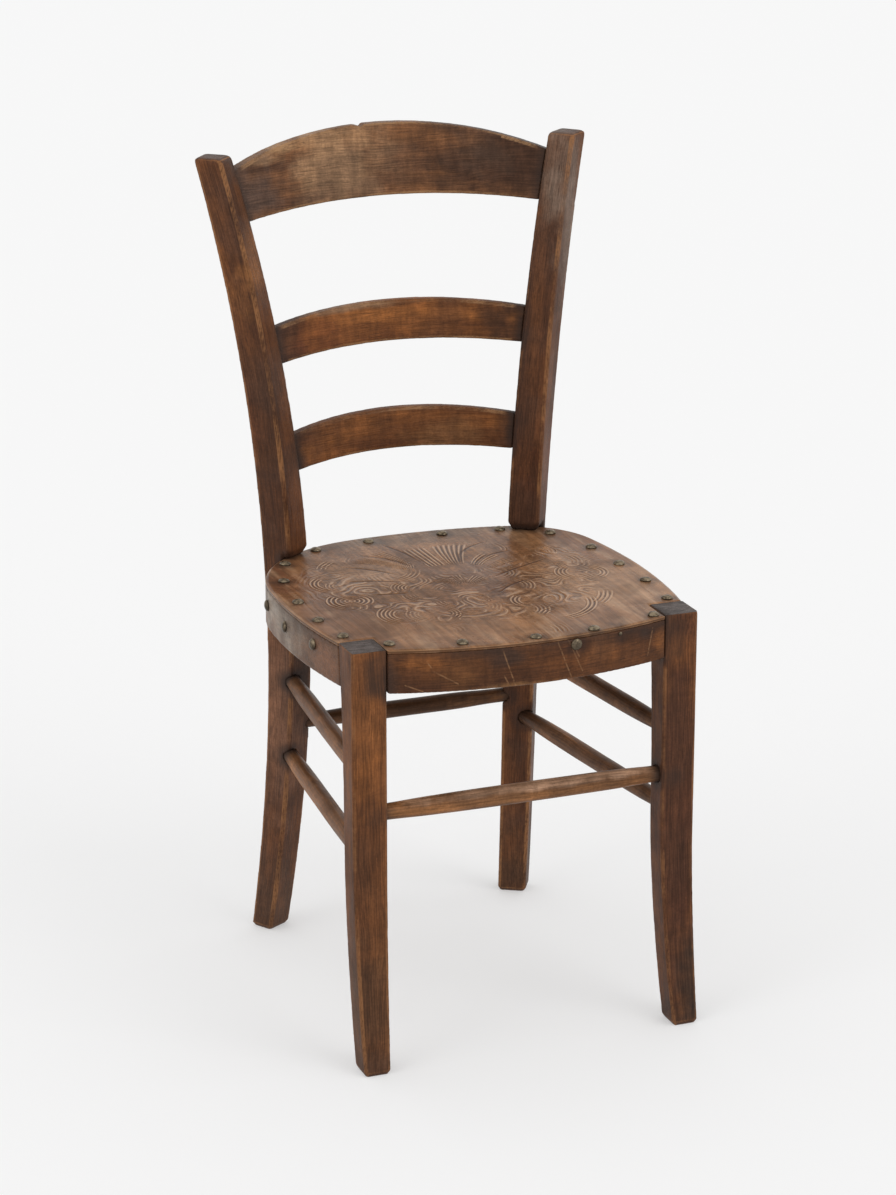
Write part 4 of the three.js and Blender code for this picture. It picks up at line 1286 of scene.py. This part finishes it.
METALS = {
    "aged brass": {
        "dark": (0.045, 0.033, 0.023), "bright": (0.28, 0.22, 0.145), "metallic": 0.7, "rough": 0.21,
    },
    "dull steel": {
        "dark": (0.06, 0.05, 0.042), "bright": (0.26, 0.23, 0.2), "metallic": 0.85, "rough": 0.38,
    },
}

# Side of a nail head, from the shank to the rolled rim: radius and height, for a head of radius 1
HEAD_SIDE = ((0.0, -0.5), (0.22, -0.5), (0.22, -0.06), (0.9, -0.06), (0.985, 0.0), (1.0, 0.05))


def aged_metal(name, look):
    """Old metal: dark with age, brighter on top where it is rubbed and where a highlight is painted."""
    shader = principled(name)
    place, upright = surface(shader.id_data)
    blotches = placed("Patina", Place=place, Size=210.0)["Blotches"]
    grit = noise(place, 900.0, detail=2.0)
    # Brighter where the head faces up: rubbed, and a painted highlight
    rubbed = ramp(upright, -0.3, 0.9) * 1.1 + 0.3
    share = ((blotches * 0.6 + grit * 0.4) * rubbed).clamped()
    put(shader.inputs["Metallic"], look["metallic"])
    colour = mixed(share, look["dark"], look["bright"])
    feed(shader, colour, grit * 0.3 + look["rough"], grit, GRIT_DEPTH)


def pin_form(node):
    """Where a nail's head sits, the way it faces and its radius."""
    head_share = 0.95
    points = points_of(merged_copy(node))
    middle = points.mean(0)
    tip = points[np.linalg.norm(points - middle, axis=1).argmax()]
    facing = (middle - tip) / np.linalg.norm(middle - tip)
    along = (points - tip) @ facing
    distance = np.linalg.norm(points - tip - np.outer(along, facing), axis=1)
    base = along[distance > head_share * distance.max()].min()
    return tip + facing * base, facing, distance.max()


def head_mesh(nails):
    """A domed nail head of unit radius with a rolled rim and a short shank, facing up."""
    least = 1e-6
    outline = list(HEAD_SIDE)
    rim_height = outline[-1][1]
    for i in range(1, nails.rings + 1):
        rise = math.pi / 2 * i / nails.rings
        outline.append((math.cos(rise), rim_height + nails.dome * math.sin(rise)))
    skin = bmesh.new()
    rings = []
    for radius, height in outline:
        count = nails.sides if radius > least else 1
        turns = [math.tau * i / count for i in range(count)]
        spots = [(radius * math.cos(turn), radius * math.sin(turn), height) for turn in turns]
        rings.append([skin.verts.new(spot) for spot in spots])
    join_rings(skin, rings)
    bmesh.ops.recalc_face_normals(skin, faces=skin.faces)
    return written(skin, "nail_head")


def cone(skin, sides, low_radius, high_radius, depth, height):
    """Adds a closed cone whose middle is at some height."""
    bmesh.ops.create_cone(
        skin, cap_ends=True, segments=sides, radius1=low_radius, radius2=high_radius, depth=depth,
        matrix=Matrix.Translation((0, 0, height)))


def slotted_mesh(sides):
    """A flat screw head of unit radius with a slot across it, facing up."""
    slot_half = 0.13
    slot_depth = 0.35
    proud = 0.04
    top_radius = 0.94
    base_radii = (0.6, 0.99)
    base_depth = 0.25
    base_height = -slot_depth - 0.1
    skin = bmesh.new()
    cone(skin, sides, 1.0, top_radius, slot_depth + 2 * proud, proud - slot_depth / 2)
    halves = [skin, skin.copy()]
    for half, side in zip(halves, (-1, 1)):
        cut = bmesh.ops.bisect_plane(
            half, geom=half.verts[:] + half.edges[:] + half.faces[:],
            plane_co=(side * slot_half, 0, 0), plane_no=(side, 0, 0), clear_inner=True)
        edges = [item for item in cut["geom_cut"] if isinstance(item, bmesh.types.BMEdge)]
        bmesh.ops.contextual_create(half, geom=edges)
    base = bmesh.new()
    cone(base, sides, *base_radii, base_depth, base_height)
    mesh = bpy.data.meshes.new("screw_head")
    whole = bmesh.new()
    for part in (*halves, base):
        bmesh.ops.recalc_face_normals(part, faces=part.faces)
        part.to_mesh(mesh)
        whole.from_mesh(mesh)
        part.free()
    whole.to_mesh(mesh)
    whole.free()
    return mesh


def set_heads(name, nodes, head, seed, material):
    """Puts a head on every nail or screw of a kind."""
    places, facings, radii = zip(*(pin_form(node) for node in nodes))
    mesh = bpy.data.meshes.new(name)
    mesh.from_pydata([tuple(place) for place in places], [], [])
    store(mesh, "facing", facings)
    store(mesh, "head_radius", radii)
    heads = linked(name, mesh)
    run_tree(heads, "Nailing", {"Head": linked("head", head), "Seed": seed, "Material": material})
    settle(heads, nodes, material)


def nailing_tree():
    """Sets a nail head on each point, turned to face its own way and a little askew."""
    lean = 0.09
    given, end = new_tree("Nailing", "GeometryNodeTree", {
        "Geometry": "Geometry", "Head": "Object", "Seed": "Int", "Material": "Material"}, ("Geometry",))
    tree = end.id_data
    head = wire(add(tree, "GeometryNodeObjectInfo", {"Object": given["Head"]}), "Geometry")
    askew = wire(add(tree, "FunctionNodeRandomValue", {
        "Min": (-lean,) * 3, "Max": (lean,) * 3, "Seed": given["Seed"]}, data_type="FLOAT_VECTOR"))
    facing = recalled(tree, "facing", "FLOAT_VECTOR") + askew
    turn = wire(add(tree, "FunctionNodeAlignEulerToVector", {"Vector": facing}, axis="Z"))
    points = wire(add(tree, "GeometryNodeMeshToPoints", {"Mesh": given["Geometry"]}))
    heads = wire(add(tree, "GeometryNodeInstanceOnPoints", {
        "Points": points, "Instance": head, "Rotation": turn, "Scale": recalled(tree, "head_radius")}))
    finish_tree(end, heads, given["Material"])


# Stage

SENSOR_WIDTH = 36.0
FLOOR_ROUGHNESS = 0.9

# Where the two soft lights come from
FROM_RIGHT = (0.47, -0.73, 0.5)
FROM_LEFT = (-0.84, -0.22, 0.5)


def floor_material(name, colour, glow):
    """The studio's pale floor, lit from within so that shadows on it stay light."""
    shader = principled(name)
    look = {
        "Base Color": colour, "Roughness": FLOOR_ROUGHNESS, "Specular IOR Level": 0.0,
        "Emission Color": WHITE, "Emission Strength": glow,
    }
    for label, value in look.items():
        put(shader.inputs[label], value)
    return bpy.data.materials[name]


def soft_light(name, towards, strength, softness):
    """An even light from one side of the room, with soft shadows."""
    light = bpy.data.lights.new(name, "SUN")
    light.energy = strength
    light.angle = softness
    lamp = linked(name, light)
    lamp.rotation_euler = Vector(towards).to_track_quat("Z", "Y").to_euler()


# Operators

TREES = (
    grain_group, wear_group, patina_group, patch_group, scratch_group, hand_wear_tree, board_tree,
    nailing_tree,
)


class ChairStageOperator(bpy.types.Operator):
    """Sets up the camera, the floor and the soft light"""

    bl_idname = "chair.stage"
    bl_label = "Stage"

    def execute(self, context):
        scene = context.scene
        stage = scene.chair_stage
        scene.view_settings.view_transform = "Standard"
        scene.view_settings.look = "None"
        camera = bpy.data.cameras.new("camera")
        camera.sensor_width = SENSOR_WIDTH
        camera.lens = stage.lens
        camera.clip_end = 4 * stage.floor_half
        viewer = linked("camera", camera)
        viewer.location = stage.camera_place
        viewer.rotation_euler = (math.pi / 2 - stage.camera_elevation, 0.0, stage.camera_azimuth)
        scene.camera = viewer
        half = stage.floor_half
        corners = [(-half, -half, 0), (half, -half, 0), (half, half, 0), (-half, half, 0)]
        mesh = bpy.data.meshes.new("floor")
        mesh.from_pydata(corners, [], [(0, 1, 2, 3)])
        mesh.materials.append(floor_material("pale floor", stage.floor_colour, stage.floor_glow))
        linked("floor", mesh)
        world = bpy.data.worlds.new("white surroundings")
        world.use_nodes = True
        background = world.node_tree.nodes["Background"]
        seen = Wire(add(world.node_tree, "ShaderNodeLightPath").outputs["Is Camera Ray"])
        put(background.inputs["Color"], WHITE)
        put(background.inputs["Strength"], seen * (stage.seen_sky - stage.sky) + stage.sky)
        scene.world = world
        soft_light("right light", FROM_RIGHT, stage.right_light, stage.softness)
        soft_light("left light", FROM_LEFT, stage.left_light, stage.softness)
        return {"FINISHED"}


class ChairFinishesOperator(bpy.types.Operator):
    """Builds the node groups and the materials that the pieces use"""

    bl_idname = "chair.finishes"
    bl_label = "Finishes"

    def execute(self, context):
        wood = context.scene.chair_wood
        for build in TREES:
            build()
        low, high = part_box("front_rail")
        centre = (low + high) / 2
        lines = [tuple((centre.x + x, 0.0, centre.z + z) for x, z in pair) for pair in RAIL_SCRATCHES]
        for name, look in FINISHES.items():
            scratches = lines if name == "rail" else ()
            old_wood(f"{name} wood", look, wood.bump, PATCHES.get(name, ()), scratches)
        seat_board("seat board", SEAT_LOOK, wood.bump)
        for name, look in METALS.items():
            aged_metal(name, look)
        return {"FINISHED"}


class ChairPostsOperator(bpy.types.Operator):
    """Dresses the rear posts"""

    bl_idname = "chair.posts"
    bl_label = "Rear posts"

    def execute(self, context):
        for seed, node in enumerate(POSTS):
            dress(node, "post", upright_grain, seed)
        return {"FINISHED"}


class ChairLegsOperator(bpy.types.Operator):
    """Dresses the front legs"""

    bl_idname = "chair.legs"
    bl_label = "Front legs"

    def execute(self, context):
        for seed, node in enumerate(LEGS):
            dress(node, "leg", upright_grain, seed + 2)
        return {"FINISHED"}


class ChairBackOperator(bpy.types.Operator):
    """Dresses the crest rail and the two slats"""

    bl_idname = "chair.back"
    bl_label = "Back rails"

    def execute(self, context):
        for seed, node in enumerate(BACK_RAILS):
            finish = "crest" if node == "crest_rail" else "slat"
            shape = worn_crest if node == "crest_rail" else None
            dress(node, finish, board_grain, seed + 4, shape)
        return {"FINISHED"}


class ChairFrameOperator(bpy.types.Operator):
    """Dresses the seat hoop, the front rail and the corner blocks"""

    bl_idname = "chair.frame"
    bl_label = "Seat frame"

    def execute(self, context):
        dress("seat_hoop", "hoop", hoop_grain, 7)
        dress("front_rail", "rail", board_grain, 8)
        for seed, node in enumerate(BLOCKS):
            dress(node, "block", board_grain, seed + 9)
        return {"FINISHED"}


class ChairRodsOperator(bpy.types.Operator):
    """Turns the stretchers"""

    bl_idname = "chair.rods"
    bl_label = "Stretchers"

    def execute(self, context):
        material = bpy.data.materials["rod wood"]
        for seed, node in enumerate(CROSS_RODS + SIDE_RODS):
            turned_rod(node, seed + 11, material)
        return {"FINISHED"}


class ChairSeatOperator(bpy.types.Operator):
    """Embosses the seat board"""

    bl_idname = "chair.seat"
    bl_label = "Seat board"

    def execute(self, context):
        seat = context.scene.chair_seat
        material = bpy.data.materials["seat board"]
        mesh, outline = seat_board_mesh(seat)
        board = linked("embossed_seat", mesh)
        run_tree(board, "Old board", {
            "Outline": linked("seat outline", outline_mesh(outline)),
            "Neighbours": surroundings("posts and nails", POSTS + NAILS),
            "Rim": seat.rim,
            "Rim Drop": seat.rim_drop,
            "Waviness": seat.waviness,
            "Relief": seat.relief,
            "Halo": seat.halo,
            "Top": SEAT_TOP,
            "Material": material,
        })
        settle(board, ["seat_panel"], material)
        return {"FINISHED"}


class ChairNailsOperator(bpy.types.Operator):
    """Sets the domed nails"""

    bl_idname = "chair.nails"
    bl_label = "Nails"

    def execute(self, context):
        nails = context.scene.chair_nails
        material = bpy.data.materials["aged brass"]
        set_heads("nail_heads", NAILS, head_mesh(nails), nails.seed, material)
        return {"FINISHED"}


class ChairScrewsOperator(bpy.types.Operator):
    """Sets the slotted screws"""

    bl_idname = "chair.screws"
    bl_label = "Screws"

    def execute(self, context):
        nails = context.scene.chair_nails
        material = bpy.data.materials["dull steel"]
        head = slotted_mesh(nails.sides)
        set_heads("screw_heads", SCREWS, head, nails.seed, material)
        return {"FINISHED"}


OPERATORS = (
    ChairStageOperator, ChairFinishesOperator, ChairPostsOperator, ChairLegsOperator, ChairBackOperator,
    ChairFrameOperator, ChairRodsOperator, ChairSeatOperator, ChairNailsOperator, ChairScrewsOperator,
)


class ChairPanel(bpy.types.Panel):
    """Lists the steps that dress the chair"""

    bl_idname = "VIEW3D_PT_chair"
    bl_label = "Old wooden chair"
    bl_space_type = "VIEW_3D"
    bl_region_type = "UI"
    bl_category = "Chair"

    def draw(self, context):
        for operator in OPERATORS:
            self.layout.operator(operator.bl_idname)


SETTINGS = {
    "chair_stage": ChairStage, "chair_wood": ChairWood, "chair_seat": ChairSeat,
    "chair_nails": ChairNails,
}


def register():
    """Registers the classes and the scene's settings."""
    for cls in (*SETTINGS.values(), *OPERATORS, ChairPanel):
        bpy.utils.register_class(cls)
    for name, cls in SETTINGS.items():
        setattr(bpy.types.Scene, name, PointerProperty(type=cls))


def unregister():
    """Takes the classes and the settings out again."""
    for name in SETTINGS:
        delattr(bpy.types.Scene, name)
    for cls in reversed((*SETTINGS.values(), *OPERATORS, ChairPanel)):
        bpy.utils.unregister_class(cls)


def main():
    """Dresses the chair."""
    register()
    bpy.ops.chair.stage()
    bpy.ops.chair.finishes()
    bpy.ops.chair.posts()
    bpy.ops.chair.legs()
    bpy.ops.chair.back()
    bpy.ops.chair.frame()
    bpy.ops.chair.rods()
    bpy.ops.chair.seat()
    bpy.ops.chair.nails()
    bpy.ops.chair.screws()


if __name__ == "__main__":
    main()
